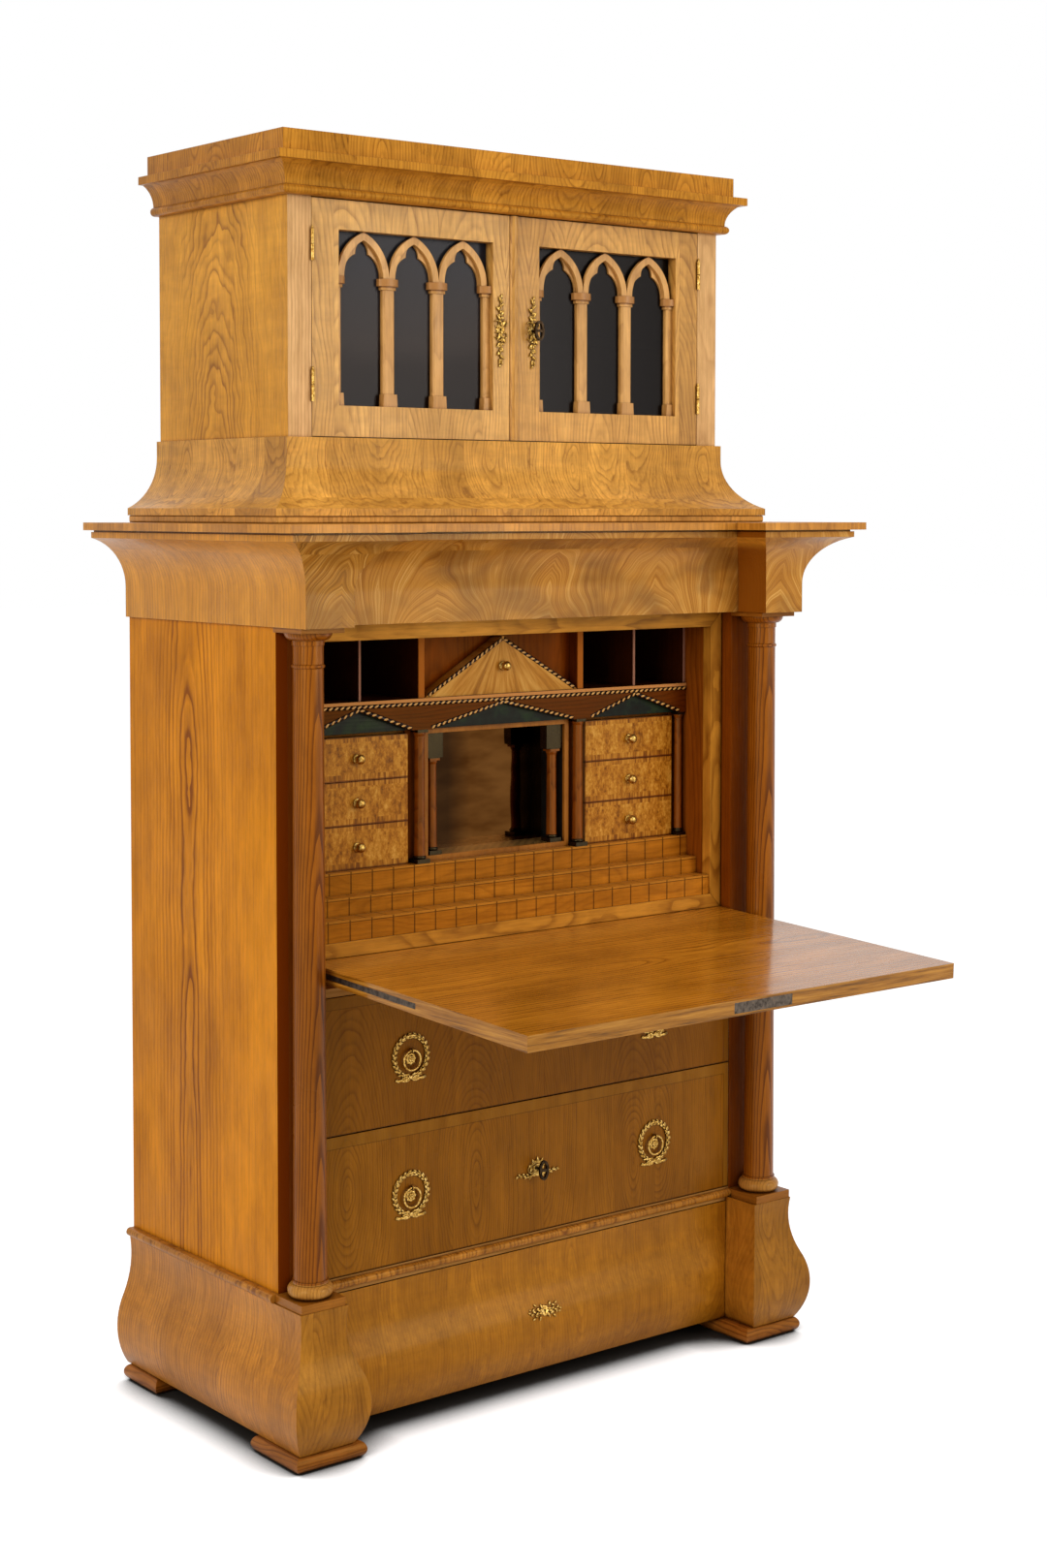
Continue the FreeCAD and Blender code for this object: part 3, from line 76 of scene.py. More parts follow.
# A white floor that runs on out of sight under a white room. It keeps the soft shadow under the plinth, and
# near the cabinet its colour and glow are also darkened by an ambient occlusion reading, which is painted
# shadow.
# Its finish is mixed from shader nodes, as every finish further on, and a share in one runs from 0 to 1.
def light(colour):
    """Turns a tone of three numbers, written as it looks from 0 to 255, into light. Others stay as they are."""
    if isinstance(colour, tuple) and len(colour) == 3:
        return tuple((part / 255) ** 2.2 for part in colour) + (1.0,)
    return colour


def add_node(tree, kind, sockets=(), out=0, **settings):
    """Adds one node to a tree and gives back a reading of what comes out of it."""
    made = tree.nodes.new(kind)
    for key, value in settings.items():
        setattr(made, key, value)
    for key, value in dict(sockets).items():
        if isinstance(value, Reading):
            tree.links.new(value.socket, made.inputs[key])
        else:
            made.inputs[key].default_value = value
    return Reading(tree, made.outputs[out]) if len(made.outputs) else None


class Reading:
    """What comes out of a node. Readings add up and multiply as numbers do, and each step adds a node."""

    def __init__(self, tree, socket):
        self.tree, self.socket = tree, socket

    def also(self, out):
        """Another thing that comes out of the same node."""
        return Reading(self.tree, self.socket.node.outputs[out])

    def parts(self):
        first = add_node(self.tree, "ShaderNodeSeparateXYZ", {0: self})
        return first, first.also(1), first.also(2)

    def math(self, operation, *others):
        return add_node(self.tree, "ShaderNodeMath", dict(enumerate((self, *others))), operation=operation)

    def __add__(self, other):
        return self.math("ADD", other)

    def __sub__(self, other):
        return self.math("SUBTRACT", other)

    def __rsub__(self, other):
        return self.math("MULTIPLY_ADD", -1.0, other)

    def __mul__(self, other):
        return self.math("MULTIPLY", other)

    def __truediv__(self, other):
        return self.math("DIVIDE", other)

    def __abs__(self):
        return self.math("ABSOLUTE")

    def over(self, low, high):
        """Rises from nought at low to one at high, or falls where high is less."""
        return add_node(self.tree, "ShaderNodeMapRange", {0: self, 1: low, 2: high})

    def above(self, edge, soft=0.0005):
        return self.over(edge - soft, edge + soft)

    def below(self, edge, soft=0.0005):
        return self.over(edge + soft, edge - soft)

    def band(self, low, high, soft=0.0003):
        """One between low and high, nought outside."""
        return self.above(low, soft) * self.below(high, soft)

    def either(self, one, other):
        """The one number where this share is nought, the other where it is one."""
        return add_node(self.tree, "ShaderNodeMix", {0: self, 2: one, 3: other})

    def blend(self, one, other):
        """The one colour where this share is nought, the other where it is one."""
        return add_node(self.tree, "ShaderNodeMix", {0: self, 6: light(one), 7: light(other)}, 2,
                        data_type="RGBA")

    def tinted(self, tint):
        """This colour under a thin tint."""
        return add_node(self.tree, "ShaderNodeMix", {0: 1.0, 6: self, 7: tint}, 2,
                        data_type="RGBA", blend_type="MULTIPLY")

    def ramp(self, *stops):
        """Colours, or plain numbers, along this reading, each at its stop."""
        scale = add_node(self.tree, "ShaderNodeValToRGB", {0: self})
        stripe = scale.socket.node.color_ramp.elements
        while len(stripe) < len(stops):
            stripe.new(0.5)
        for element, (where, colour) in zip(stripe, stops):
            element.position = where
            element.color = light(colour) if isinstance(colour, tuple) else (colour, colour, colour, 1)
        return scale

    def noise(self, by, detail=2.0, roughness=0.5):
        """Cloudy noise at this place, as fine as by says, along each axis where it is three numbers."""
        place = self
        if isinstance(by, tuple):
            place, by = add_node(self.tree, "ShaderNodeVectorMath", {0: self, 1: by}, operation="MULTIPLY"), 1.0
        return add_node(self.tree, "ShaderNodeTexNoise",
                        {"Vector": place, "Scale": by, "Detail": detail, "Roughness": roughness})


def most(share, *others):
    """Whichever of the shares is greatest."""
    for other in others:
        share = share.math("MAXIMUM", other)
    return share


class Finish:
    """The finish of a piece, mixed from the place on the piece, or the air of the room."""

    def __init__(self, name, world=None):
        self.material = world or bpy.data.materials.new(name)
        self.material.use_nodes = True
        self.tree = self.material.node_tree
        self.tree.nodes.clear()
        self.place = self.node("TexCoord", out="Object")
        self.x, self.y, self.z = self.place.parts()

    def node(self, kind, sockets=(), out=0, **settings):
        return add_node(self.tree, "ShaderNode" + kind, sockets, out, **settings)

    def point(self, x, y, z):
        return self.node("CombineXYZ", {0: x, 1: y, 2: z})

    def seen(self):
        """One where the eye meets this straight on, in gloss or through glass, and nought for other light."""
        ways = ("Camera", "Glossy", "Transmission")
        return most(*[self.node("LightPath", out=f"Is {way} Ray") for way in ways])

    def surface(self, colour, roughness, height=None, relief=0.0003, edge=0.0, **fixed):
        """Ends the finish: the shader, with its fixed sockets set on it by name."""
        sockets = {"Base Color": colour, "Roughness": roughness}
        for name, value in fixed.items():
            sockets[name.replace("_", " ").title().replace("Ior", "IOR")] = value
        normal = {"Normal": self.node("Bevel", {"Radius": edge}, samples=4)} if edge else {}
        if height is not None:
            bump = {"Height": height, "Distance": relief, "Strength": 1.0, **normal}
            normal = {"Normal": self.node("Bump", bump)}
        self.node("OutputMaterial", {"Surface": self.node("BsdfPrincipled", {**sockets, **normal})})
        return self.material


floor_reach, floor_grey, floor_glow = 30.0, (0.72, 0.72, 0.72, 1), 0.74
shade_reach, shade_tone = 0.11, (60, 56, 52)
ground = bpy.data.meshes.new("floor")
ground.from_pydata([(across * floor_reach, deep * floor_reach, 0) for across, deep in
                    ((-1, -1), (1, -1), (1, 1), (-1, 1))], [], [(0, 1, 2, 3)])
stand("floor", ground)
paper = Finish("floor_paper")
# Painted shadow: where the cabinet stands close, the floor's colour falls to the shade tone and its glow goes
# out.
open_floor = paper.node("AmbientOcclusion", {"Distance": shade_reach}, "AO", samples=24)
open_floor = open_floor.ramp((0.35, 0.0), (0.74, 1.0))
glow = paper.node("Emission", {"Strength": paper.seen() * open_floor * floor_glow})
matt = paper.node("BsdfDiffuse", {"Color": open_floor.blend(shade_tone, floor_grey)})
paper.node("OutputMaterial", {"Surface": paper.node("AddShader", {0: matt, 1: glow})})
ground.materials.append(paper.material)

room_light = 0.40
bpy.context.scene.world = bpy.data.worlds.new("room")
air = Finish("room", bpy.context.scene.world)
sky = air.node("Background", {"Color": (1, 1, 1, 1), "Strength": air.seen().either(room_light, 1.0)})
air.node("OutputWorld", {"Surface": sky})


# Three large soft lamps: one to the left that lights the side, one in front on the right whose sheen
# lies on the left ends of the fronts, and one above for the mouldings and the open flap.
def lamp(name, place, target, width, height, power):
    made = bpy.data.lights.new(name, "AREA")
    made.shape = "RECTANGLE"
    made.size, made.size_y, made.energy = width, height, power
    turn = (Vector(target) - Vector(place)).to_track_quat("-Z", "Y").to_matrix().to_4x4()
    stand(name, made).matrix_world = Matrix.Translation(place) @ turn


lamp("left_lamp", (-4.2, -1.6, 2.3), (-0.5, 0.1, 1.1), 2.2, 2.6, 95)
lamp("front_lamp", (2.0, -3.6, 2.2), (-0.3, 0.0, 1.2), 1.8, 2.6, 75)
lamp("top_lamp", (-0.4, -0.9, 4.4), (0.0, 0.0, 1.0), 2.6, 2.2, 45)


# The two side panels of the lower case are pine under ash veneer, each with one long slender figure of rings.
# Grain is worked out as in a real leaf of veneer: a cut past the heart of a log, which leans and wanders.
class Timber(Finish):
    """Wood with its grain upright or level, in one leaf or in leaves laid side by side."""

    def __init__(self, name, grain="up", sheet=0.0, seed=1.0):
        super().__init__(name)
        self.facing = self.node("TexCoord", out="Normal").parts()
        to_side, to_front, to_top = (abs(part) for part in self.facing)
        self.side = to_side.math("GREATER_THAN", to_front)
        run, self.deep = self.side.either(self.x, self.y), self.side.either(self.y, self.x)
        rise = to_top.math("GREATER_THAN", 0.75).either(self.z, self.deep)
        self.across, self.along = (run, rise) if grain == "up" else (rise, run)
        self.reach = self.along
        self.chance = None
        uneven, seam_width, seam_soft, log_length = 0.28, 0.0008, 0.0005, 3.0
        if sheet:
            count = self.across / sheet
            count = (count * 2.1 + seed).math("SINE") * uneven + count
            leaf = self.point(count.math("FLOOR"), self.side, seed)
            self.chance = self.node("TexWhiteNoise", {"Vector": leaf}, "Color").parts()
            self.seam = count.math("FRACT").band(-0.1, seam_width / sheet, seam_soft / sheet)
            self.across = self.across + self.chance[0]
            self.along = self.chance[1] * log_length + self.along
        self.log = self.point(self.across, self.deep, self.along)

    def rings(self, heart=0.0, span=0.0, distance=0.02, lean=0.03, middle=0.0, scatter=0.3, ring=0.0065,
              wave=0.03, ripple=0.004):
        """Lines of the yearly rings, one at the dark pores: long ovals round a middle, straight further off."""
        wander = self.log.noise((4.0, 4.0, 3.2), 1.0) - 0.5
        shake = self.log.noise((22.0, 22.0, 13.0)) - 0.5
        aside = self.across - heart
        if span:
            aside = aside.math("PINGPONG", span)
        far = self.reach - middle
        if self.chance:
            far = (self.chance[1] - 0.5) * scatter + far
        far = wander * (wave * 2) + (far * lean + distance)
        count = (shake * (ripple * 2) + (aside * aside + far * far).math("SQRT")) / ring
        line = count.math("FRACT").ramp((0.0, 0.9), (0.1, 1.0), (0.36, 0.35), (0.8, 0.05), (0.97, 0.4))
        year = self.node("TexWhiteNoise", {"W": count.math("FLOOR")}, noise_dimensions="1D")
        return line * (year * 0.7 + 0.3)

    def timber(self, mean, line=None, figure=0.55, fibre=0.36, streak=0.3, cloud=0.14, fleck=0.0, curl=0.0,
               warm=1.0):
        """Colour and relief of the wood, whose tones lie round the mean."""
        pale = tuple(min(part * lift, 1) for part, lift in zip(light(mean), (1.26, 1.32, 1.36))) + (1,)
        dark = tuple(part * drop for part, drop in zip(light(mean), (0.46, 0.34, 0.2))) + (1,)
        thread = self.log.noise((210.0, 210.0, 6.0), 3.0, 0.65) - 0.5
        pore = self.log.noise((1100.0, 1100.0, 30.0), 0.0).ramp((0.6, 0.0), (0.7, 1.0))
        strip = self.log.noise((95.0, 95.0, 1.6), 3.0, 0.65) - 0.5
        depth = strip * (streak * 2) + (thread * (fibre * 2) + 0.24)
        relief = pore * -0.6
        if line:
            depth = (line - 0.22) * figure + depth
            relief = line * -0.4 + relief
        depth = pore * 0.16 + depth
        if fleck:
            eyes = self.log.noise((55.0, 55.0, 30.0), 4.0, 0.7).ramp((0.58, 0.0), (0.70, 1.0))
            depth = eyes * fleck + depth
        colour = self.node("Clamp", {0: depth}).blend(pale, dark)
        dull = tuple((1 - cloud) * (1 - cloud * more) for more in (0, 0.3, warm)) + (1,)
        clouds = self.log.noise((4.2, 4.2, 2.2), 3.0, 0.55)
        colour = colour.tinted(clouds.ramp((0.32, dull), (0.68, 1 + cloud)))
        mottle = self.log.noise((30.0, 30.0, 9.0), 4.0, 0.68)
        mottle = mottle.ramp((0.34, (0.86, 0.83, 0.76, 1)), (0.5, 1.0), (0.66, (1.13, 1.14, 1.16, 1)))
        colour = colour.tinted(mottle)
        if curl:
            shine = self.log.noise((14.0, 14.0, 60.0), 2.0, 0.6)
            colour = colour.tinted(shine.ramp((0.36, 1 - curl), (0.64, 1 + curl)))
        if self.chance:
            leaf_tint = self.chance[2].over(0.0, 1.0).ramp((0.0, (0.86, 0.82, 0.74, 1)), (1.0, 1.1))
            colour = (self.seam * 0.45).blend(colour.tinted(leaf_tint), dark)
        return colour, relief

    def polished(self, colour, relief, gloss=0.34, shine=0.3, coat=0.0, amber=0.5, edge=0.0012):
        """Ends the wood under its old shellac, which warms what it reflects, and darkens it in corners and
        recesses by an ambient occlusion reading, partly as grime and partly as painted shade.
        """
        grime_and_shade_reach, pore_depth = 0.012, 0.00012
        rough = self.place.noise(7.0, 3.0).ramp((0.3, gloss - 0.05), (0.7, gloss + 0.09))
        tint = (1.0, 1 - 0.4 * amber, 1 - 0.94 * amber, 1)
        # Corners and recesses darken here: partly grime, partly painted shade.
        corner = self.node("AmbientOcclusion", {"Distance": grime_and_shade_reach}, "AO", samples=4)
        corner_grime_and_shade = corner.ramp((0.3, (0.3, 0.22, 0.15, 1)), (0.72, 1))
        return self.surface(colour.tinted(corner_grime_and_shade), rough, relief, pore_depth, edge, specular_ior_level=shine,
                            specular_tint=tint, coat_weight=coat, coat_roughness=0.12, coat_ior=1.45)


def lay(finish, slot, *nodes):
    """Gives CAD pieces their finish."""
    for node in nodes:
        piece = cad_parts[node]
        piece.data.materials.clear()
        piece.data.materials.append(finish)


side_heart, side_joint, joint_width = 0.306, 0.3528, 0.0008
wood = Timber("side_veneer")
lines = wood.rings(heart=side_heart, distance=0.012, lean=0.035, middle=0.62, ring=0.0105, wave=0.028,
                   ripple=0.005)
lines = lines * abs(wood.y - side_heart).ramp((0.03, 1.0), (0.10, 0.35), (0.2, 0.2))
colour, relief = wood.timber((184, 112, 26), lines, figure=1.15, streak=0.4, cloud=0.18, fibre=0.3)
joint = wood.y.band(side_joint, side_joint + joint_width) * wood.z.over(0.75, 0.55)
colour = (joint * 0.5).blend(colour, (96, 52, 16))
# The front faces of the side panels, behind the columns, take a dark red-brown: painted shade.
colour = wood.side.blend((118, 52, 10), colour)
lay(wood.polished(colour, relief, shine=0.08, amber=0.9), "case_ash", "lower_sides")


# The stiles behind the columns are ash, given a dark red-brown that is painted shade, so that the columns stand
# out.
# They are bored for the pivots of the fall front and hide the ends of the drawers.
wood = Timber("stile_painted_shade")
colour, relief = wood.timber((114, 56, 14), wood.rings(heart=0.4), figure=0.3)
lay(wood.polished(colour, relief, shine=0.12, amber=0.9), "shaded_stile", "front_stiles")


# The plinth swells in an ogee: sides, blocks under the columns, half-round mouldings and square slabs.
# Its veneer stands upright in leaves, matched in pairs, so that figures face each other over a joint.
def leaves_of_ash(name, mean, sheet=0.0, seed=1.0, figure=0.5, shine=0.3, coat=0.0, amber=0.9, grain="up",
                  curl=0.06, fleck=0.0, cloud=0.14, **growth):
    veneer = Timber(name, grain, sheet, seed)
    lines = veneer.rings(**{"span": sheet * 0.8, **growth})
    colour, relief = veneer.timber(mean, lines, figure, fleck=fleck, curl=curl, cloud=cloud)
    return veneer.polished(colour, relief, shine=shine, coat=coat, amber=amber)


lay(leaves_of_ash("plinth_veneer", (174, 110, 38), 0.13, 2.2, figure=0.6, fleck=0.12, lean=0.22, distance=0.0,
                  middle=0.12, scatter=0.2, ring=0.0075, wave=0.02), "case_ash", "plinth_sides")
wood = Timber("block_veneer", "up", 0.07, 4.0)
lines = wood.rings(span=0.056, lean=0.25, middle=0.12, ring=0.007)
front, relief = wood.timber((152, 98, 32), lines, figure=0.5, fleck=0.12, curl=0.06)
flank = wood.timber((176, 112, 38), lines, figure=0.3, fleck=0.12, curl=0.06)[0]
lay(wood.polished(wood.side.blend(front, flank), relief, coat=0.02, amber=0.9), "case_ash", "corner_blocks")
lay(leaves_of_ash("slab_ash", (140, 84, 28), grain="level", amber=0.8), "case_ash", "column_blocks")
lay(leaves_of_ash("moulding_veneer", (162, 104, 38), 0.034, 6.0, figure=1.1, amber=0.8, fleck=0.5, ring=0.004,
                  cloud=0.15), "case_ash", "plinth_mouldings")
lay(leaves_of_ash("foot_ash", (140, 82, 32), figure=0.9, grain="level", ring=0.005, cloud=0.3),
    "foot_ash", "feet")


# The free columns are turned from solid ash, stained a red brown, with a paler torus at the foot. They are
# dowelled into the plinth blocks, and the rings of the log run up the shaft in a stack of pointed arches.
column_across, torus_height = 0.4815, 0.0245
wood = Timber("column_ash")
wood.across, wood.deep, wood.along = abs(wood.x), wood.y, wood.z
wood.log = wood.point(wood.across, wood.deep, wood.along)
far, off = wood.z * 0.035 + (wood.y + 0.045), wood.across - column_across
wander = wood.log.noise((14.0, 14.0, 5.0)) - 0.5
count = (wander * 0.008 + (far * far + off * off).math("SQRT")) / 0.0052
lines = count.math("FRACT").ramp((0.0, 0.9), (0.12, 1.0), (0.4, 0.3), (0.85, 0.1))
colour, relief = wood.timber((134, 74, 18), lines, figure=1.0)
torus = wood.timber((176, 122, 56), lines, figure=0.4, cloud=0.1)[0]
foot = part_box("front_columns")[0][2]
colour = (wood.z.band(foot, foot + torus_height) * 0.8).blend(colour, torus)
lay(wood.polished(colour, relief, gloss=0.3, shine=0.25, coat=0.06, amber=0.8), "column_ash", "front_columns")


# The boards inside the case are plain pine, unpolished: dust boards, guides, drawer boxes and the back.
# The back is of boards laid level, and the pine is darker and browner from about the middle of the case to its
# front, below the height of the desk.
back_board_width, back_face = 0.19, (0.47, 0.48)
darker_front_depth, darker_front_head = (0.05, 0.03), (0.9, 0.88)
pine = Timber("inner_pine", "level")
colour, relief = pine.timber((190, 144, 88), pine.rings(heart=0.6, span=0.09, ring=0.008), figure=0.4)
joints = pine.z.math("PINGPONG", back_board_width / 2).over(0.0022, 0.0012) * pine.y.over(*back_face)
colour = (joints * 0.75).blend(colour, (74, 50, 26))
darker_front_pine = pine.y.over(*darker_front_depth) * pine.z.over(*darker_front_head)
colour = darker_front_pine.blend(colour, (146, 92, 32))
lay(pine.polished(colour, relief, gloss=0.62, shine=0.05, amber=0.9), "inner_pine",
    "inner_boards", "back_boards", "plinth_drawer_box", "lower_drawer_box", "upper_drawer_box")


# The long drawers have flat fronts of darker ash, the grain upright in tall ovals, with a crossed band
# along the top and ends and a fine dark line between. The plinth drawer swells with the plinth.
band_height, band_end, line_width = 0.019, 0.011, 0.0012
flap_shadow_rise = (0.4970, 0.4985)
wood = Timber("drawer_veneer", "up", 0.15, 3.3)
lines = wood.rings(span=0.12, distance=0.0, lean=0.28, middle=0.41, scatter=0.14, ring=0.0046, wave=0.02,
                   ripple=0.005)
colour, relief = wood.timber((136, 84, 24), lines, figure=0.6, cloud=0.12, fibre=0.28)
wide, bands, dark_lines = abs(wood.x), [], []
for drawer in ("lower_drawer_front", "upper_drawer_front"):
    low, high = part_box(drawer)
    head, end = high[2] - band_height, high[0] - band_end
    bands += [wood.z.band(head, high[2] + 0.002),
              wood.z.band(low[2], high[2]) * wide.above(end, 0.0003)]
    dark_lines += [wood.z.band(head - line_width, head) * wide.over(end, end - 0.0005),
                   wood.z.band(low[2], head) * wide.band(end - line_width, end),
                   wood.z.band(low[2] - 0.002, low[2] + 0.0015)]
crossed = wood.place.noise((34.0, 34.0, 6.0), 3.0, 0.55).ramp((0.3, (122, 74, 18)), (0.7, (152, 100, 34)))
colour = (most(*bands) * 0.7).blend(colour, crossed)
colour = (most(*dark_lines) * 0.6).blend(colour, (60, 30, 10))
# The upper drawer is darkened: painted shadow of the open fall front.
colour = (wood.z.over(*flap_shadow_rise) * 0.3).blend(colour, (86, 40, 6))
lay(wood.polished(colour, relief, gloss=0.3, shine=0.2, amber=0.95), "drawer_ash",
    "lower_drawer_front", "upper_drawer_front")
lay(leaves_of_ash("plinth_drawer_veneer", (157, 99, 26), 0.17, 7.4, figure=0.35, coat=0.04, fleck=0.25,
                  distance=0.0, lean=0.2, middle=0.13, scatter=0.2, wave=0.02, ring=0.0055),
    "drawer_ash", "plinth_drawer_front")


# The fall front shows open. Its inner face is the glossiest part, the front and end edges are plain wood,
# and the ironwork is let in flush: straps with pivots in the ends, and a lock plate in the front edge.
wood = Timber("flap_veneer", "level")
wood.across, wood.along = wood.side.either(wood.y, wood.z), wood.side.either(wood.x, wood.y)
wood.log = wood.point(wood.across, wood.z, wood.along)
wood.reach = wood.x
lines = wood.rings(heart=-0.22, span=0.16, lean=0.05, wave=0.05, ring=0.010)
colour, relief = wood.timber((168, 104, 30), lines, figure=0.8, cloud=0.26)
edge = wood.log.noise((180.0, 180.0, 8.0), 4.0, 0.65)
edge = edge.ramp((0.34, (72, 36, 8)), (0.46, (140, 86, 24)), (0.68, (190, 130, 52)))
colour = (abs(wood.facing[2]).over(0.6, 0.4) * 0.85).blend(colour, edge)
lay(wood.polished(colour, relief, gloss=0.15, shine=0.45, coat=0.13, amber=0.9, edge=0.001),
    "flap_ash", "fall_front")

iron = Finish("iron")
spots = iron.place.noise(160.0, 4.0, 0.65)
colour = spots.ramp((0.35, (58, 50, 44)), (0.6, (96, 86, 76)), (0.75, (120, 84, 56)))
lay(iron.surface(colour, spots.ramp((0.3, 0.38), (0.7, 0.62)), spots, 0.0002, metallic=1.0),
    "iron", "flap_ironwork")
iron = Finish("key_iron")
spots = iron.place.noise(220.0, 3.0)
colour = spots.ramp((0.35, (34, 26, 18)), (0.7, (66, 52, 38)))
lay(iron.surface(colour, 0.42, spots, 0.0002, metallic=1.0), "key_iron", "drawer_key", "cabinet_key")


# The desk opening has a mitred frame of pale ash, and behind it a lining of polished cherry.
# The jambs stand upright in grain, the head and the sill lie level, and a dark line shows at each mitre.
wood = Timber("frame_ash")
low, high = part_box("desk_frame")
from_end = high[0] - abs(wood.x)
from_level = (wood.z - low[2]).math("MINIMUM", high[2] - wood.z)
level = from_end.math("LESS_THAN", from_level)
wood.across, wood.along = level.either(wood.z, wood.x), level.either(wood.x, wood.z)
wood.log = wood.point(wood.across, wood.y, wood.along)
colour, relief = wood.timber((174, 114, 40), wood.rings(span=0.02, ring=0.006), figure=0.9, cloud=0.2)
mitre = abs(from_end - from_level).below(0.0008, 0.0004)
lay(wood.polished((mitre * 0.7).blend(colour, (70, 38, 14)), relief, amber=0.9), "frame_ash", "desk_frame")
wood = Timber("desk_cherry")
lines = wood.rings(heart=0.2, span=0.13, distance=0.05, ring=0.009)
colour, relief = wood.timber((120, 62, 18), lines, figure=0.6, cloud=0.2, warm=1.4)
lay(wood.polished(colour, relief, shine=0.2, amber=1.0), "desk_cherry", "desk_lining", "small_drawer_cases")


# Three steps rise to the fitted unit, veneered level, with squares marked on the risers by dark lines
# every 43 millimetres, set over by half on the middle one, and a pale nosing along each edge.
square = 0.043
step_tops = (0.8397, 0.8697, 0.9067)
nosing_foot, shadow_foot = 0.0035, 0.0048
wood = Timber("tread_veneer", "level")
lines = wood.rings(span=0.03, distance=0.03, ring=0.006, wave=0.05)
colour, relief = wood.timber((158, 94, 26), lines, figure=0.3, cloud=0.2, curl=0.05)
nosing = most(*[wood.z.band(top - nosing_foot, top + 0.0002) for top in step_tops])
# A dark band just under each nosing is painted shadow.
under = [wood.z.band(top - shadow_foot, top - nosing_foot) for top in step_tops]
count = wood.x / square + wood.z.band(*step_tops[:2]) * 0.5
upright = count.math("FRACT").band(0.465, 0.525, 0.012)
colour = (nosing * 0.4).blend(colour, (196, 132, 52))
colour = (most(upright, *under) * 0.85).blend(colour, (62, 26, 6))
lay(wood.polished(colour, relief, shine=0.2, amber=1.0), "tread_veneer", "desk_steps")


# Six small drawers in two stacks, with fronts of speckled burl between crossed bands at top and foot.
# The bands have short dark streaks, and a reddish line closes each against the next drawer.
drawer_inside, front_thick = (176, 134, 84), 0.019
burl = Timber("drawer_burl")
eyes = burl.place.noise((190.0, 190.0, 130.0), 4.0, 0.7)
swirl = burl.place.noise((60.0, 60.0, 24.0), 4.0, 0.6)
colour = (swirl * 0.45 + eyes * 0.55).ramp((0.36, (104, 54, 10)), (0.46, (160, 96, 24)), (0.55, (190, 126, 42)),
                                           (0.66, (216, 158, 70)))
streaks = burl.place.noise((210.0, 210.0, 26.0), 2.0, 0.6)
streaks = streaks.ramp((0.34, (112, 58, 12)), (0.5, (166, 102, 28)), (0.66, (198, 134, 50)))
bands, dark_lines = [], []
for row in (1, 2, 3):
    low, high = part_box(f"small_drawer_left_{row}")
    bands += [burl.z.band(low[2], low[2] + 0.011), burl.z.band(high[2] - 0.0085, high[2])]
    dark_lines += [burl.z.band(low[2] - 0.001, low[2] + 0.0022), burl.z.band(high[2] - 0.0014, high[2] + 0.001)]
colour = most(*bands).blend(colour, streaks)
colour = (most(*dark_lines) * 0.75).blend(colour, (92, 34, 12))
colour = burl.y.above(low[1] + front_thick).blend(colour, drawer_inside)
lay(burl.polished(colour, eyes, gloss=0.3, amber=0.8, edge=0.0006), "drawer_burl",
    *[f"small_drawer_{side}_{row}" for side in ("left", "right") for row in (1, 2, 3)])


# The niche between the stacks: a narrow light frame, stained dark walls, a parquet floor and an old mirror.
# The mirror has lost some silver, so it is brownish and a little uneven. Its left part is darker, a painted
# reflection of the dark side of the case and a column.
frame_thick, floor_thick = 0.006, 0.010
low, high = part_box("niche_frame")
wood = Timber("niche_wood")
colour, relief = wood.timber((150, 92, 34), wood.rings(span=0.01, ring=0.004), figure=0.3)
stain = wood.place.noise(18.0, 3.0).ramp((0.3, (8, 12, 16)), (0.7, (24, 30, 30)))
parquet = wood.node("TexChecker", {"Vector": wood.place, "Scale": 110.0, "Color1": light((132, 100, 56)),
                                   "Color2": light((96, 72, 42))}, "Color")
inside = wood.z.below(low[2] + floor_thick).blend(stain, parquet)
colour = wood.y.above(low[1] + frame_thick, 0.0002).blend(colour, inside)
lay(wood.polished(colour, relief, gloss=0.3, shine=0.2, amber=0.6, edge=0.0006), "light_frame", "niche_frame")
silver = Finish("old_mirror")
colour = silver.place.noise((9.0, 9.0, 26.0), 3.0, 0.55).ramp((0.35, (76, 46, 20)), (0.65, (104, 68, 34)))
# Darker towards the left edge: painted reflection.
colour = (silver.x.over(-0.01, -0.06) * 0.75).blend(colour, (40, 30, 22))
lay(silver.surface(colour, 0.05, silver.place.noise(14.0, 1.0), 0.0012, metallic=1.0),
    "mirror_glass", "niche_mirror")


# Small turned columns stand beside the niche, at the outer ends and inside it, red brown on ebonised plinths.
# The two inside have taller plinths and carry dark blue-black blocks under the ceiling of the niche.
plinth, capital, inner_plinth, inner_block, inner_reach = 0.013, 0.005, 0.022, 0.053, 0.150
wood = Timber("column_cherry")
lines = wood.rings(heart=0.1, span=0.01, distance=0.01, ring=0.003, ripple=0.002)
colour, relief = wood.timber((118, 60, 16), lines, figure=0.6, cloud=0.2)
foot, head = (corner[2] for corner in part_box("desk_columns"))
inner = abs(wood.x).below(inner_reach)
ebony = most(wood.z.below(foot + plinth), wood.z.above(head - capital),
             inner * wood.z.below(foot + inner_plinth), inner * wood.z.above(head - inner_block))
lay(wood.polished(ebony.blend(colour, (20, 15, 16)), relief, gloss=0.22, shine=0.4, coat=0.06, amber=0.85,
                  edge=0.0006), "column_cherry", "desk_columns")


# The apron over the columns is cherry, cut in three gables, with stained panels of dark blue green behind.
# Both are thin, and their edges are hardly eased.
wood = Timber("apron_cherry", "level")
colour, relief = wood.timber((84, 38, 10), wood.rings(span=0.05), figure=0.6, cloud=0.25)
lay(wood.polished(colour, relief, shine=0.15, amber=1.0, edge=0.0006), "desk_cherry", "gable_apron")
wood = Timber("tympanum_stain", "level")
stain = wood.place.noise(26.0, 4.0, 0.6).ramp((0.34, (8, 12, 16)), (0.5, (16, 28, 26)), (0.68, (32, 50, 30)))
lay(wood.polished(stain, wood.rings(span=0.03), shine=0.12), "dark_tympanum", "tympana")
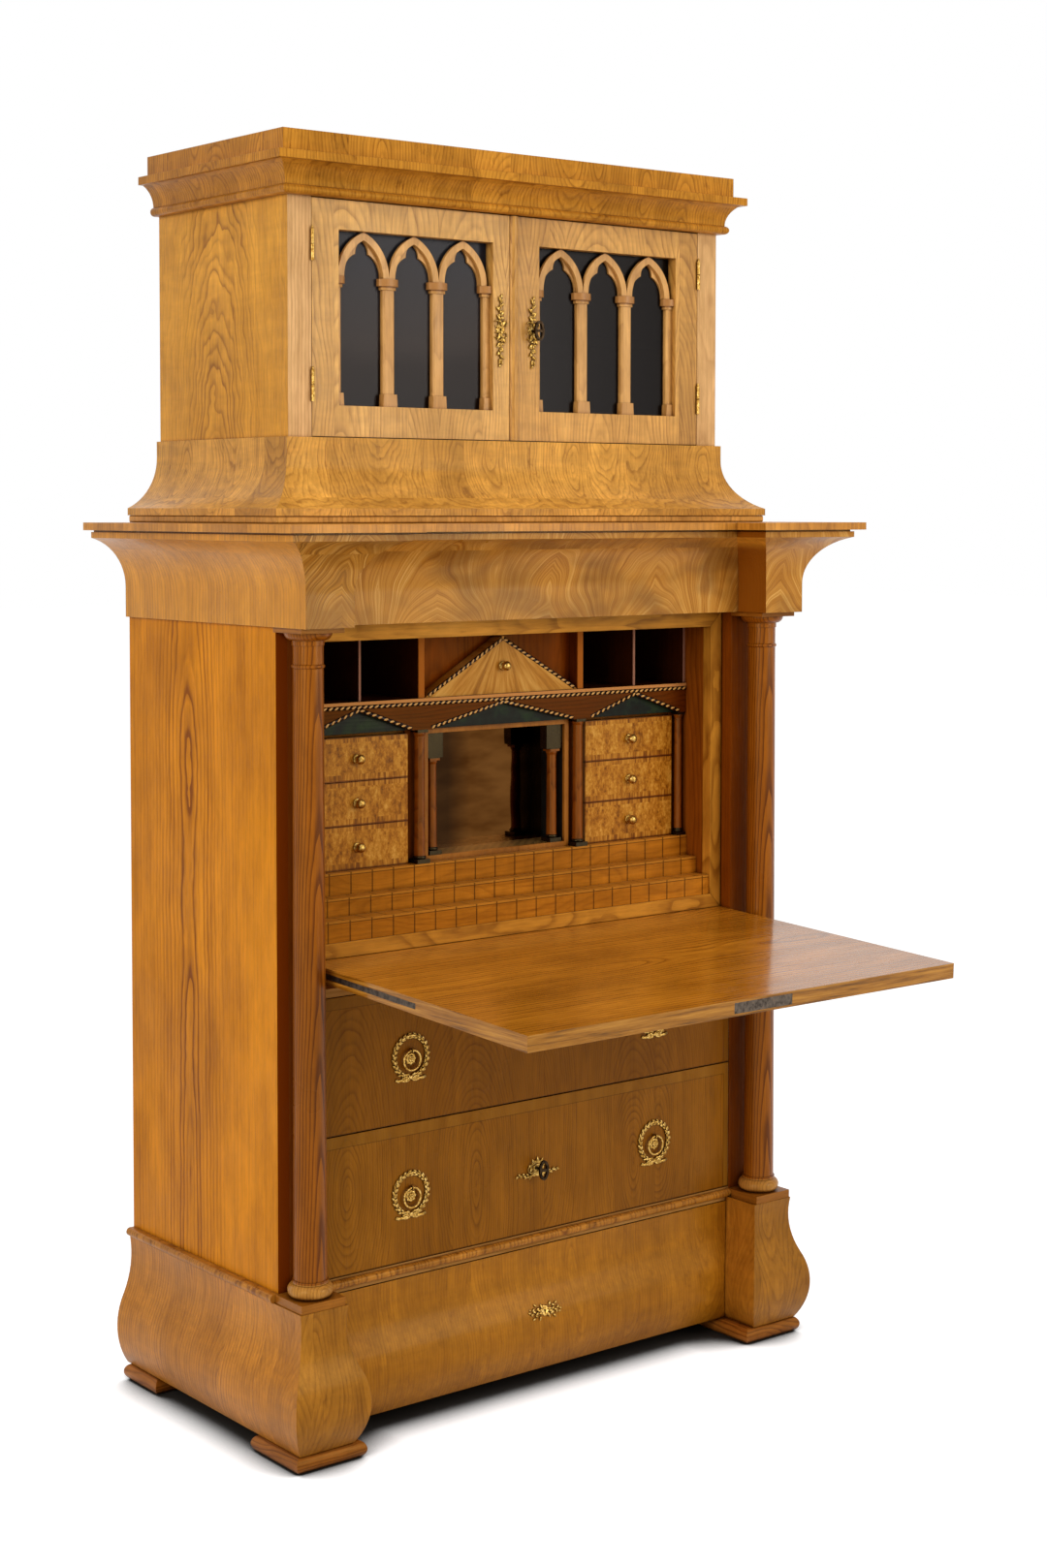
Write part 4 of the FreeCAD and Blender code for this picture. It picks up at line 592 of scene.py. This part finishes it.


# Over the apron lie the shelf and the pigeonholes. Their inside is near black, which is painted shade in the
# depth of the holes; the thick dividers are faced in orange brown, the thin ones edged with a pale line, and a
# red-brown panel closes the middle.
shelf_thick, divider_inset, half_middle, half_outside = 0.0125, 0.006, 0.168, 0.1805
wood = Timber("pigeonhole_cherry")
low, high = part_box("pigeonhole_unit")
wide = abs(wood.x)
# Painted shade: the cherry inside the holes is given a near black.
colour, relief = wood.timber((52, 24, 8), wood.rings(heart=0.3), figure=0.3)
panel = wood.timber((108, 48, 8), wood.rings(span=0.06, distance=0.03), figure=0.7, cloud=0.3)[0]
colour = wide.below(half_middle, 0.0002).blend(colour, panel)
edges = wood.y.below(low[1] + divider_inset, 0.0002) * wood.z.above(low[2] + shelf_thick, 0.0003)
colour = edges.blend(colour, (150, 104, 84))
colour = (edges * wide.band(half_middle - 0.0005, half_outside)).blend(colour, (164, 90, 32))
shelf = wood.y.below(low[1] + 0.001, 0.0002) * wood.z.band(low[2] + 0.0065, low[2] + shelf_thick - 0.0003)
colour = shelf.blend(colour, (196, 132, 74))
lay(wood.polished(colour, relief, shine=0.12, amber=1.0, edge=0.0006), "desk_cherry", "pigeonhole_unit")


# The pediment is the front of a drawer, veneered in a fan of pale grain that spreads down from its peak.
# The box behind the front is plain wood.
front_reach, fan_peak = 0.044, 0.012
wood = Timber("pediment_fan")
low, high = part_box("pediment_drawer")
turn = wood.x.math("ARCTAN2", high[2] + fan_peak - wood.z)
fan = wood.point(turn * 9.0, wood.z * 9.0, 0.3).noise(1.0, 4.0, 0.65)
colour = fan.ramp((0.3, (132, 78, 18)), (0.48, (176, 114, 38)), (0.66, (206, 150, 70)))
colour = wood.y.above(low[1] + front_reach).blend(colour, drawer_inside)
lay(wood.polished(colour, fan, gloss=0.3, shine=0.25, amber=0.8, edge=0.0006), "drawer_burl", "pediment_drawer")


# The frieze is coved, with a block over each column. Its veneer is cut from the crotch of a tree, so that
# plumes of pale streaks spread up between dark smears. The sides are plain golden ash.
plume_width, plume_root = 0.118, 0.06
wood = Timber("crotch_veneer")
run = (wood.across + 2.0).math("PINGPONG", plume_width)
height = wood.z - (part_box("frieze")[0][2] - plume_root)
bend = wood.log.noise((6.0, 6.0, 6.0)) - 0.5
turn = bend * 0.8 + run.math("ARCTAN2", height)
plume = wood.point(turn * 19.0, height * 3.0, wood.across * 1.5).noise(1.0, 4.0, 0.6)
hair = wood.point(turn * 62.0, height * 3.0, wood.across * 5.0).noise(1.0, 4.0, 0.6)
colour = (hair * 0.5 + plume * 0.5).ramp((0.34, (138, 80, 22)), (0.46, (178, 116, 42)), (0.55, (194, 134, 56)),
                                         (0.64, (216, 162, 86)))
smear = wood.log.noise((5.0, 5.0, 8.0), 3.0, 0.6).ramp((0.46, 0.0), (0.62, 1.0)) * wood.side.over(1.0, 0.0)
end_smear = wood.x.over(-0.32, -0.47) * hair.ramp((0.4, 1.0), (0.56, 0.1))
colour = most(smear * 0.62, end_smear * 0.75).blend(colour, (108, 66, 28))
lines = wood.rings(heart=0.30, distance=0.03, lean=0.04, middle=1.4, ring=0.008)
plain, relief = wood.timber((192, 126, 40), lines, figure=0.45)
# Painted shade: the left face of the right block takes a dark red-brown.
shaded_return = wood.facing[0].over(-0.5, -0.7) * wood.x.over(0.3, 0.32)
colour = (shaded_return * 0.9).blend(wood.side.blend(colour, plain), (122, 62, 12))
lay(wood.polished(colour, relief, gloss=0.3, coat=0.05, amber=0.8), "crotch_ash", "frieze")


# The board over the frieze breaks forward with the blocks, its edges crossed with short leaves of veneer.
# The coved skirt on it carries the glazed case. Swirling, flecked leaves stand side by side round it.
lay(leaves_of_ash("board_veneer", (182, 120, 46), 0.09, 2.7, figure=0.4, coat=0.08, amber=0.5, fleck=0.08),
    "case_ash", "top_board")
lay(leaves_of_ash("skirt_veneer", (188, 133, 58), 0.12, 8.3, figure=0.6, shine=0.35, coat=0.05, amber=0.85,
                  curl=0.1, fleck=0.4, cloud=0.2, distance=0.0, lean=0.35, middle=1.6, scatter=0.2,
                  ring=0.0062, ripple=0.012), "crotch_ash", "cove_skirt")


# A band of cross-cut ash closes the joint between skirt and board. It is a solid strip with eased edges,
# mitred at the corners and glued to the frame that carries the skirt.
def skin(shape, rows, closed=False):
    """Joins rows of points by faces, with a cap at each end unless the rows close in a ring."""
    for one, other in zip(rows, rows[1:] + rows[:1] if closed else rows[1:]):
        for place in range(len(one)):
            shape.faces.new((one[place], one[place - 1], other[place - 1], other[place]))
    if not closed:
        shape.faces.new(rows[0])
        shape.faces.new(reversed(rows[-1]))


band_section = [(19.0, 0.1), (4.4, 0.1), (3.2, 0.9), (2.6, 2.6),
                (2.6, 9.4), (3.2, 11.1), (4.4, 11.9), (19.0, 11.9)]
low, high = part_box("cove_skirt")
band, rows = bmesh.new(), []
for side, at_back in ((-1, True), (-1, False), (1, False), (1, True)):
    rows.append([band.verts.new((side * (high[0] - inset / 1000),
                                 high[1] - 0.001 if at_back else low[1] + inset / 1000, low[2] + rise / 1000))
                 for inset, rise in band_section])
skin(band, rows)
bmesh.ops.recalc_face_normals(band, faces=band.faces)
skirt_band = stand("skirt_band", bpy.data.meshes.new("skirt_band"))
band.to_mesh(skirt_band.data)
skirt_band.data.materials.append(leaves_of_ash("band_veneer", (194, 138, 66), 0.09, 5.1, amber=0.7))
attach(skirt_band, "cabinet")


# The sides of the glazed case show one broad figure of pointed arches. Stiles, rails, mouldings and the attic
# are crossed with upright leaves of a paler ash; the fronts of the stiles are paler still, partly their own
# tone and partly a painted highlight.
wood = Timber("upper_side_veneer")
figure_middle = 0.309
lines = wood.rings(heart=0.316, lean=0.24, middle=1.6, ring=0.0088, wave=0.016, ripple=0.016)
lines = lines * abs(wood.y - figure_middle).ramp((0.05, 1.0), (0.13, 0.3))
colour, relief = wood.timber((194, 132, 46), lines, figure=0.85, fibre=0.3, curl=0.05)
# The front faces of the stiles are paler and pinker: partly their own ash, partly a painted highlight of the
# lamp in front.
stile_tone_and_sheen = wood.timber((204, 156, 104), wood.rings(heart=0.44), figure=0.5)[0]
lay(wood.polished(wood.side.blend(stile_tone_and_sheen, colour), relief, shine=0.2, coat=0.03, amber=0.6),
    "case_ash", "upper_sides")
lay(leaves_of_ash("crown_veneer", (170, 111, 38), 0.11, 1.9, figure=0.7, shine=0.25, amber=1.0, fleck=0.45,
                  distance=0.0, lean=0.3, middle=2.05, wave=0.02, ring=0.006),
    "upper_ash", "upper_boards", "crown_moulding", "attic")


# Two glazed doors: frames crossed with upright leaves, tracery of three pointed arches each, and dark panes
# whose colour carries a painted reflection.
# The capitals and bases of the tracery are stained a little darker than its shafts.
# The left door is lighter than the right: partly its own veneer, partly a painted sheen of the lamp in front on
# the right.
for side, mean in (("left", (191, 141, 74)), ("right", (180, 129, 64))):
    lay(leaves_of_ash(f"{side}_door_veneer", mean, 0.1, 6.6, figure=0.6, shine=0.35, coat=0.06, amber=0.5,
                      fleck=0.12, lean=0.2, middle=1.72), "door_ash", f"{side}_door_frame")
bases_head, capitals_foot, capitals_head = 1.6925, 1.8660, 1.8812
wood = Timber("tracery_ash")
colour, relief = wood.timber((192, 140, 78), wood.rings(span=0.012, ring=0.004), figure=0.3)
stained = most(wood.z.band(capitals_foot, capitals_head), wood.z.below(bases_head, 0.002) * 0.4)
colour = (stained * 0.6).blend(colour, (138, 84, 40))
lay(wood.polished(colour, relief, shine=0.35, amber=0.3, edge=0.001), "tracery_ash",
    "left_door_tracery", "right_door_tracery")
pane = Finish("door_glass")
# Painted reflection: the panes run from dark brown at the foot to bluish grey at the head, and are darker on
# the right door.
height = pane.place.noise(4.0) * 0.12 + (pane.z - 0.06)
colour = height.over(1.68, 1.98).ramp((0.0, (20, 13, 9)), (0.22, (26, 18, 13)), (0.36, (44, 37, 33)),
                                      (0.6, (42, 39, 39)), (1.0, (36, 40, 48)))
colour = pane.x.over(0.0, 0.02).blend(colour, (16, 12, 10))
lay(pane.surface(colour, 0.24, specular_ior_level=0.11, specular_tint=(1.0, 0.9, 0.84, 1.0), alpha=0.92),
    "door_glass", "left_door_glass", "right_door_glass")


# The brasses are cast and chased, gilt under a brown wear, and lie on the wood: laurel wreaths with a bow,
# leafy plates round the keyholes. Each is built up flat in millimetres (right, up, out) and then set in place.
keyholes = [(0.0, 0.3767), (0.0, 0.605), (0.035, 1.8085), (-0.035, 1.8085), (0.0, 0.1345)]
slit_half, slit_drop, pin_radius = 0.0008, 0.0055, 0.00195
gilding = Finish("gilt")
wear = gilding.place.noise(300.0, 3.0, 0.6)
hollow = gilding.node("AmbientOcclusion", {"Distance": 0.004}, "AO", samples=6).ramp((0.35, 1.0), (0.9, 0.0))
colour = wear.ramp((0.34, (126, 88, 34)), (0.5, (176, 136, 66)), (0.7, (216, 182, 110)))
colour = (hollow * 0.8).blend(colour, (60, 36, 10))
# The keyholes are drawn near black on the flat brass: painted shade for the depth of each hole.
flat_place, holes = gilding.point(gilding.x, gilding.z, 0.0), []
for across, height in keyholes:
    apart = gilding.node("VectorMath", {0: flat_place, 1: (across, height, 0)}, "Value", operation="DISTANCE")
    slit = gilding.x.band(across - slit_half, across + slit_half, 0.0002)
    holes += [slit * gilding.z.band(height - slit_drop, height, 0.0002), apart.below(pin_radius, 0.00015)]
hole = most(*holes)
gilt = gilding.surface(hole.blend(colour, (14, 9, 5)), hole.either(wear.ramp((0.3, 0.46), (0.7, 0.27)), 0.9),
                       wear, 0.00025, metallic=1.0)
lay(gilt, "brass", "case_hinges", "lower_left_ring", "lower_right_ring", "upper_left_ring", "upper_right_ring")


def swept(shape, path, widths, thicks, closed=False, sides=8):
    """Adds a strip of oval section along a path of (right, up, out) points, pointed or round at its ends."""
    rows, last = [], len(path) - 1
    for place, (at, width, thick) in enumerate(zip(path, widths, thicks)):
        ahead = path[(place + 1) % len(path)] if closed or place < last else at
        behind = path[place - 1] if closed or place else at
        run = (Vector(ahead) - Vector(behind)).normalized()
        across = run.cross(Vector((0, 0, 1))).normalized()
        out = across.cross(run)
        turns = [2 * math.pi * side / sides for side in range(sides)]
        rows.append([shape.verts.new(Vector(at) + across * (math.cos(turn) * width / 2)
                                     + out * (math.sin(turn) * thick / 2)) for turn in turns])
    skin(shape, rows, closed)


def turned(shape, profile, at=(0.0, 0.0), lobes=0, depth=0.0, steps=40):
    """Adds a turned form of (radius, out) points about an axis that stands out of the wood, lobed if asked."""
    rows = []
    for radius, out in profile:
        row = []
        for step in range(steps):
            turn = 2 * math.pi * step / steps
            reach = radius * (1 + depth * math.cos(lobes * turn))
            row.append(shape.verts.new((at[0] + reach * math.cos(turn), at[1] + reach * math.sin(turn), out)))
        rows.append(row[::-1])  # turned about, so that the skin faces outward
    skin(shape, rows)


def as_mesh(name, shape):
    mesh = bpy.data.meshes.new(name)
    shape.to_mesh(mesh)
    return mesh


def add_part(shape, part, place):
    """Adds a part built about another axis, each of its points put where place says."""
    for vert in part.verts:
        vert.co = place(*vert.co)
    shape.from_mesh(as_mesh("part", part))


def leaf_shape(name, length, width, lift=1.2, thick=1.6):
    """A pointed leaf that rises from its stalk and dips at its tip, with a ridge along the middle."""
    shape = bmesh.new()
    stations = (0.0, 0.14, 0.34, 0.56, 0.78, 0.93, 1.0)
    wide = (0.18, 0.66, 1.0, 0.94, 0.6, 0.26, 0.05)
    path = [(length * at, 0.0, thick * 0.35 + lift * math.sin(math.pi * at * 0.85)) for at in stations]
    swept(shape, path, [width * share for share in wide], [thick * (0.35 + 0.65 * share) for share in wide],
          sides=6)
    return stand(name, as_mesh(name, shape))


def row_of_pieces():
    """The tree that sets copies of a piece along a path, turned to it and splayed left and right by turns."""
    tree = bpy.data.node_groups.new("pieces_along_a_path", "GeometryNodeTree")
    for name, kind in (("Path", "Geometry"), ("Spacing", "Float"), ("Splay", "Float"), ("Alternate", "Float"),
                       ("Taper", "Float"), ("Piece", "Object"), ("Finish", "Material")):
        tree.interface.new_socket(name, in_out="INPUT", socket_type="NodeSocket" + kind)
    tree.interface.new_socket("Row", in_out="OUTPUT", socket_type="NodeSocketGeometry")
    given = add_node(tree, "NodeGroupInput")

    def add(kind, sockets, out=0, **settings):
        return add_node(tree, kind, sockets, out, **settings)

    track = add("GeometryNodeMeshToCurve", {"Mesh": given})
    points = add("GeometryNodeCurveToPoints", {"Curve": track, "Length": given.also("Spacing")}, mode="LENGTH")
    index = add("GeometryNodeInputIndex", {})
    count = add("GeometryNodeAttributeDomainSize", {"Geometry": points}, "Point Count", component="POINTCLOUD")
    side = given.also("Alternate") * (index.math("MODULO", 2.0) * 2.0 - 2.0) + 1.0
    along = add("FunctionNodeAlignRotationToVector", {"Vector": points.also("Tangent")},
                axis="X", pivot_axis="Z")
    aside = add("FunctionNodeAxisAngleToRotation", {"Axis": (0, 0, 1), "Angle": given.also("Splay") * side})
    turn = add("FunctionNodeRotateRotation", {"Rotation": along, "Rotate By": aside}, rotation_space="LOCAL")
    size = 1.0 - given.also("Taper") * (index / (count - 1.0))
    piece = add("GeometryNodeObjectInfo", {"Object": given.also("Piece")}, "Geometry")
    row = add("GeometryNodeInstanceOnPoints",
              {"Points": points, "Instance": piece, "Rotation": turn, "Scale": size})
    row = add("GeometryNodeRealizeInstances", {"Geometry": row})
    row = add("GeometryNodeSetMaterial", {"Geometry": row, "Material": given.also("Finish")})
    add("NodeGroupOutput", {0: row})
    return tree


row_tree = row_of_pieces()


def strew(shape, path, piece, spacing, splay=0.0, alternate=1.0, taper=0.0, finish=gilt):
    """Adds copies of a piece along a path of (right, up, out) points, splayed by so many degrees."""
    track = bpy.data.meshes.new("track")
    runs = [(place, place + 1) for place in range(len(path) - 1)]
    track.from_pydata([tuple(point) for point in path], runs, [])
    carrier = stand("track", track)
    row = carrier.modifiers.new("row", "NODES")
    row.node_group = row_tree
    asked = {"Spacing": spacing, "Splay": math.radians(splay), "Alternate": alternate, "Taper": taper,
             "Piece": piece, "Finish": finish}
    for socket in row_tree.interface.items_tree:
        if socket.name in asked:
            row[socket.identifier] = asked[socket.name]
    made = bpy.data.meshes.new_from_object(carrier.evaluated_get(bpy.context.evaluated_depsgraph_get()))
    bpy.data.objects.remove(carrier)
    shape.from_mesh(made)


def set_in_place(name, shape, x, y, z, finish=gilt, ground=None):
    """Turns a flat fitting to face the front at its place, on the curved ground under it where one is given."""
    bmesh.ops.remove_doubles(shape, verts=shape.verts, dist=1e-5)
    bmesh.ops.recalc_face_normals(shape, faces=shape.faces)
    for vert in shape.verts:
        right_of, above, out = vert.co
        spot = Vector((x + right_of / 1000, y, z + above / 1000))
        if ground:
            hit = ground.ray_cast(Vector((spot.x, -1.0, spot.z)), Vector((0, 1, 0)))[0]
            spot.y = hit.y if hit else y
        spot.y -= out / 1000
        vert.co = spot
    mesh = as_mesh(name, shape)
    for face in mesh.polygons:
        face.use_smooth = True
    mesh.materials.clear()
    mesh.materials.append(finish)
    made = stand(name, mesh)
    return made


def arc(centre, radii, start, end, count, out=0.0):
    """Points on an oval, from one angle to the other in degrees."""
    turns = [math.radians(start + (end - start) * step / (count - 1)) for step in range(count)]
    return [(centre[0] + radii[0] * math.cos(turn), centre[1] + radii[1] * math.sin(turn), out)
            for turn in turns]


def sided(side, path, up=0.0, out=0.0):
    """The path on its own side, left at -1 and right at 1, moved up and out."""
    return [(side * at[0], at[1] + up, at[2] + out) for at in path]


wood_face, drawer_key_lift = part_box("lower_drawer_front")[0][1], 3.0
pull_across, ring_radius, wreath_lift = 267.0, 16.5, 6.0
laurel = leaf_shape("laurel_leaf", 9.6, 4.8)
bead = leaf_shape("laurel_berry", 2.8, 2.8, 0.0, 2.6)


def wreath(shape):
    """A laurel wreath with its bow, the rosette in its middle and the eye that the ring hangs in."""
    centre, bed_radii, bed_steps = (0.0, wreath_lift), (33.0, 34.0), 46
    bed = arc(centre, bed_radii, 0, 352, bed_steps, 0.6)
    swept(shape, bed, [6.6] * bed_steps, [1.8] * bed_steps, closed=True)
    for start, end in ((-82, 86), (262, 94)):
        strew(shape, arc(centre, bed_radii, start, end, 60, 0.9), laurel, 4.3, 30)
        strew(shape, arc(centre, (33.2, 34.2), start, end, 60, 1.7), laurel, 8.6)
        strew(shape, arc(centre, (29.0, 30.0), start, end, 40, 1.0), bead, 14.5)
    low = wreath_lift - bed_radii[1]
    for side in (-1, 1):
        loop = [(0, 0, 1.6), (6, 4.5, 2.6), (13, 4, 2.2), (15.5, -0.5, 1.6), (12, -3.5, 1.8), (5, -2, 2.4),
                (0, 0, 1.6)]
        swept(shape, sided(side, loop, low), [2.6, 3.8, 4.6, 4.4, 4.6, 3.8, 2.6], [1.6] * 7)
        tail = [(0, -1, 1.6), (5, -5.5, 2), (11, -6.5, 1.2), (18, -4.2, 2), (24, -4.8, 1.2), (30, -2.2, 1.6)]
        swept(shape, sided(side, tail, low), [2.8, 3.8, 4.2, 4.4, 4.8, 5.6], [1.6, 1.5, 1.4, 1.5, 1.4, 1.0])
    turned(shape, [(4.2, 0.0), (4.4, 2.4), (3.2, 4.0), (0.8, 4.6)], (0.0, low - 0.4), steps=16)
    rosette = (0.0, 2.0)
    turned(shape, [(10.6, 0.0), (10.6, 1.0), (9.2, 2.6), (7.4, 2.9), (5.2, 2.2)], rosette, 8, 0.11, 48)
    turned(shape, [(5.4, 1.6), (5.2, 3.4), (3.6, 4.6), (2.6, 4.4)], rosette, 6, 0.14, 36)
    turned(shape, [(2.6, 3.0), (2.4, 4.8), (1.4, 5.8), (0.4, 6.1)], rosette, steps=20)
    swept(shape, [(0, 8.0, 0.9), (0, 13.0, 0.8), (0, ring_radius, 0.8)], [4.6, 3.4, 5.6], [1.6, 1.5, 1.6])
    hoop = bmesh.new()
    turns = [2 * math.pi * step / 20 for step in range(20)]
    swept(hoop, [(ring_radius + 3.7 * math.sin(turn), 5.5 + 3.7 * math.cos(turn), 0.0) for turn in turns],
          [2.0] * 20, [2.6] * 20, closed=True)
    add_part(shape, hoop, lambda above, out, across: (across, above, out))


def leafy_plate(shape):
    """The low spray of leaves to each side of a drawer's keyhole, with a shield in its middle."""
    turned(shape, [(15.0, 0.0), (15.0, 0.9), (12.6, 1.7), (10.6, 1.2)], lobes=9, depth=0.07, steps=54)
    turned(shape, [(8.2, 0.8), (8.2, 2.3), (6.6, 2.9), (5.6, 2.1)], steps=40)
    strew(shape, arc((0.0, 0.0), (11.0, 11.0), 20, 160, 24, 0.8), laurel, 5.6, -90, alternate=0.0)
    for side in (-1, 1):
        stem = sided(side, [(8, -8, 1.0), (16, -11, 1.0), (26, -10, 1.0), (35, -7.6, 0.9), (42, -8.2, 0.8)])
        swept(shape, stem, [3.0, 2.6, 2.2, 1.8, 1.2], [1.8, 1.8, 1.6, 1.4, 1.0])
        strew(shape, stem, laurel, 4.4, 38, taper=0.4)
        strew(shape, sided(1, stem, out=0.8), laurel, 7.4, taper=0.35)
        strew(shape, arc((side * 14.0, 0.0), (6.0, 6.0), 90 - side * 20, 90 - side * 230, 18, 0.9), bead, 2.6)


for level in ("lower", "upper"):
    pull_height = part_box(f"{level}_left_ring")[0][2] + (ring_radius + 2.0) / 1000
    brasses = bmesh.new()
    for make, across, lift in ((wreath, -pull_across, 0), (wreath, pull_across, 0),
                               (leafy_plate, 0, drawer_key_lift)):
        one = bmesh.new()
        make(one)
        bmesh.ops.translate(one, verts=one.verts, vec=(across, lift, 0))
        brasses.from_mesh(as_mesh("brass", one))
    made = set_in_place(f"{level}_drawer_gilt", brasses, 0.0, wood_face, pull_height)
    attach(made, f"{level}_drawer")
    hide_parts(f"{level}_drawer_brasses")


# The plinth drawer has no pull, only a small spray of gilt leaves round its keyhole, bent to the swell.
# It is cast in one piece and pinned to the veneer.
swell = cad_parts["plinth_drawer_front"].data
ogee = BVHTree.FromPolygons([vert.co for vert in swell.vertices], [face.vertices for face in swell.polygons])
spray = bmesh.new()
turned(spray, [(9.0, 0.0), (9.0, 0.9), (7.2, 1.7), (5.4, 1.1)], lobes=7, depth=0.08, steps=42)
for side in (-1, 1):
    for high in (-1, 1):
        stem = [(5, high * 3, 0.9), (13, high * 8, 0.9), (21, high * 8.4, 0.9), (28, high * 5, 0.8)]
        strew(spray, sided(side, stem), laurel, 5.2, 40, taper=0.35)
    strew(spray, sided(side, [(8, 0, 1.2), (30, 0, 1.0)]), laurel, 5.4, 24, taper=0.3)
spray = set_in_place("plinth_gilt", spray, 0.0, wood_face, keyholes[-1][1], ground=ogee)
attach(spray, "plinth_drawer")
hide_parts("plinth_drawer_escutcheon")


# Each glazed door has a tall gilt plate of leaves round its keyhole, and the upper knuckles of two hinges,
# slim barrels with a small urn at the end, whose leaves go into the joint.
door_face, door_key_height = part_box("left_door_frame")[0][1], 1808.5
hinge_across, hinge_feet = 416.5, (1676.5, 1900.5)
barrel = [(0.0, 26.3), (2.4, 26.3), (3.15, 27.0), (3.15, 30.0), (2.9, 30.6), (2.9, 46.6), (3.15, 47.2),
          (3.15, 50.4), (2.2, 51.2), (1.5, 51.8), (2.0, 53.4), (1.2, 55.2), (0.3, 56.0)]
tall_leaf = leaf_shape("acanthus_leaf", 15.0, 6.6, 1.8, 2.0)
small_leaf = leaf_shape("small_leaf", 8.0, 4.4, 1.0, 1.8)
for side, name in ((-1, "left"), (1, "right")):
    plate = bmesh.new()
    turned(plate, [(9.4, 0.0), (9.4, 1.0), (7.4, 1.9), (5.8, 1.3)], lobes=8, depth=0.09, steps=48)
    turned(plate, [(5.8, 0.9), (5.8, 2.2), (4.6, 2.8), (3.8, 2.0)], steps=32)
    for upward, reach in ((1, 60.0), (-1, 65.0)):
        stem = [(math.sin(step * 0.9) * 1.2, upward * (6.0 + (reach - 20.0) * step / 8), 1.0)
                for step in range(9)]
        swept(plate, stem, [3.0 - 0.2 * step for step in range(9)], [1.8] * 9)
        strew(plate, stem, tall_leaf, 7.2, 42, taper=0.35)
        strew(plate, sided(1, stem, out=1.0), small_leaf, 5.2, 66, taper=0.3)
        strew(plate, sided(1, stem, out=1.4), small_leaf, 9.0, taper=0.2)
        strew(plate, [(0, upward * (reach - 16), 1.0), (0, upward * (reach - 7), 1.0)], small_leaf, 4.4, 30)
    for high in (-1, 1):
        for way in (-1, 1):
            bend = way * high
            strew(plate, arc((way * 8.5, high * 10.0), (4.6, 4.6), -150 * bend, 100 * bend, 16, 1.0), bead, 2.3)
    bmesh.ops.translate(plate, verts=plate.verts, vec=(side * 35.0, 0, 0))
    for foot in hinge_feet:
        foot -= door_key_height
        knuckle = bmesh.new()
        turned(knuckle, barrel, steps=20)
        add_part(plate, knuckle, lambda right_of, back, height:
                 (side * hinge_across + right_of, height + foot, 3.2 + back))
        hinge_leaf = [(hinge_across - 0.3, 26.6, 1.4), (hinge_across - 0.3, 51.4, 1.4)]
        swept(plate, sided(side, hinge_leaf, foot), [0.8, 0.8], [5.0, 5.0])
    made = set_in_place(f"{name}_door_gilt", plate, 0.0, door_face, door_key_height / 1000)
    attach(made, f"{name}_door")
    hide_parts(f"{name}_door_brasses")


# Seven brass ball knobs, turned with a neck and a small moulded foot, draw the small drawers and the pediment.
# Each covers the plain knob of its drawer.
knob_profile = [(8.2, 0.0), (8.2, 0.7), (7.1, 1.5), (5.2, 1.9), (4.4, 2.6), (3.9, 3.2), (4.3, 3.9), (6.0, 5.0),
                (7.4, 6.6), (8.3, 8.6), (8.5, 10.2), (8.1, 12.3), (7.0, 14.3), (5.2, 15.9), (2.8, 16.9),
                (0.6, 17.2)]
knob_stem = 0.017
knobs = [(f"small_drawer_{side}_{row}", way * 0.298, 0.9435 + 0.0736 * (row - 1))
         for side, way in (("left", -1), ("right", 1)) for row in (1, 2, 3)]
for drawer, across, height in knobs + [("pediment_drawer", 0.0, 1.2347)]:
    knob = bmesh.new()
    turned(knob, knob_profile, steps=36)
    made = set_in_place(f"{drawer}_knob", knob, across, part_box(drawer)[0][1] + knob_stem, height)
    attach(made, drawer)


# Ropes of light and dark strands are let in along the gables, the shelf and both slopes of the pediment.
# The strands stand a hair proud of a dark bed.
def rope_finish(name, size, dark, pale, gloss):
    mix = Finish(name)
    spots = mix.place.noise(size)
    return mix.surface(spots.ramp((0.3, dark), (0.7, pale)), gloss, spots, 0.0001, specular_ior_level=0.3)


rope_wood = rope_finish("rope_inlay", 240.0, (186, 128, 56), (224, 172, 92), 0.4)
bed_wood = rope_finish("rope_bed", 200.0, (22, 10, 4), (40, 19, 8), 0.42)
strand = leaf_shape("rope_strand", 9.6, 4.2, 0.1, 0.9)
rope_pitch, rope_slant = 11.4, 26


def rope(name, runs, y, z, body):
    strands, bed = bmesh.new(), bmesh.new()
    for start, end in runs:
        start, end = Vector(start).to_3d(), Vector(end).to_3d()
        run = (end - start).normalized()
        aside = Vector((-run.y, run.x, 0)) * 2.2
        strew(strands, [start - aside + run, end - aside - run * 9.5], strand, rope_pitch, rope_slant,
              alternate=0.0, finish=rope_wood)
        swept(bed, [start, end], [6.8, 6.8], [0.5, 0.5], sides=4)
    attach(set_in_place(name, strands, 0.0, y, z, rope_wood), body)
    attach(set_in_place(name + "_bed", bed, 0.0, y, z, bed_wood), body)


gables = []
for centre, half in ((0.0, 157.0), (-302.0, 107.0), (302.0, 107.0)):
    gables += [((centre - half + 1, 3.0), (centre, 39.7)), ((centre, 39.7), (centre + half - 1, 3.0))]
rope("gable_rope", gables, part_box("gable_apron")[0][1], 1.1335, "cabinet")
rope("shelf_rope", [((-423.0, 3.2), (423.0, 3.2))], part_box("pigeonhole_unit")[0][1], 1.1745, "cabinet")
slopes = [((-160.0, 3.4), (-1.5, 94.6)), ((1.5, 94.6), (160.0, 3.4))]
rope("pediment_rope", slopes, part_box("pediment_drawer")[0][1] + knob_stem, 1.1868, "pediment_drawer")
for pattern in (laurel, bead, tall_leaf, small_leaf, strand):
    bpy.data.objects.remove(pattern)
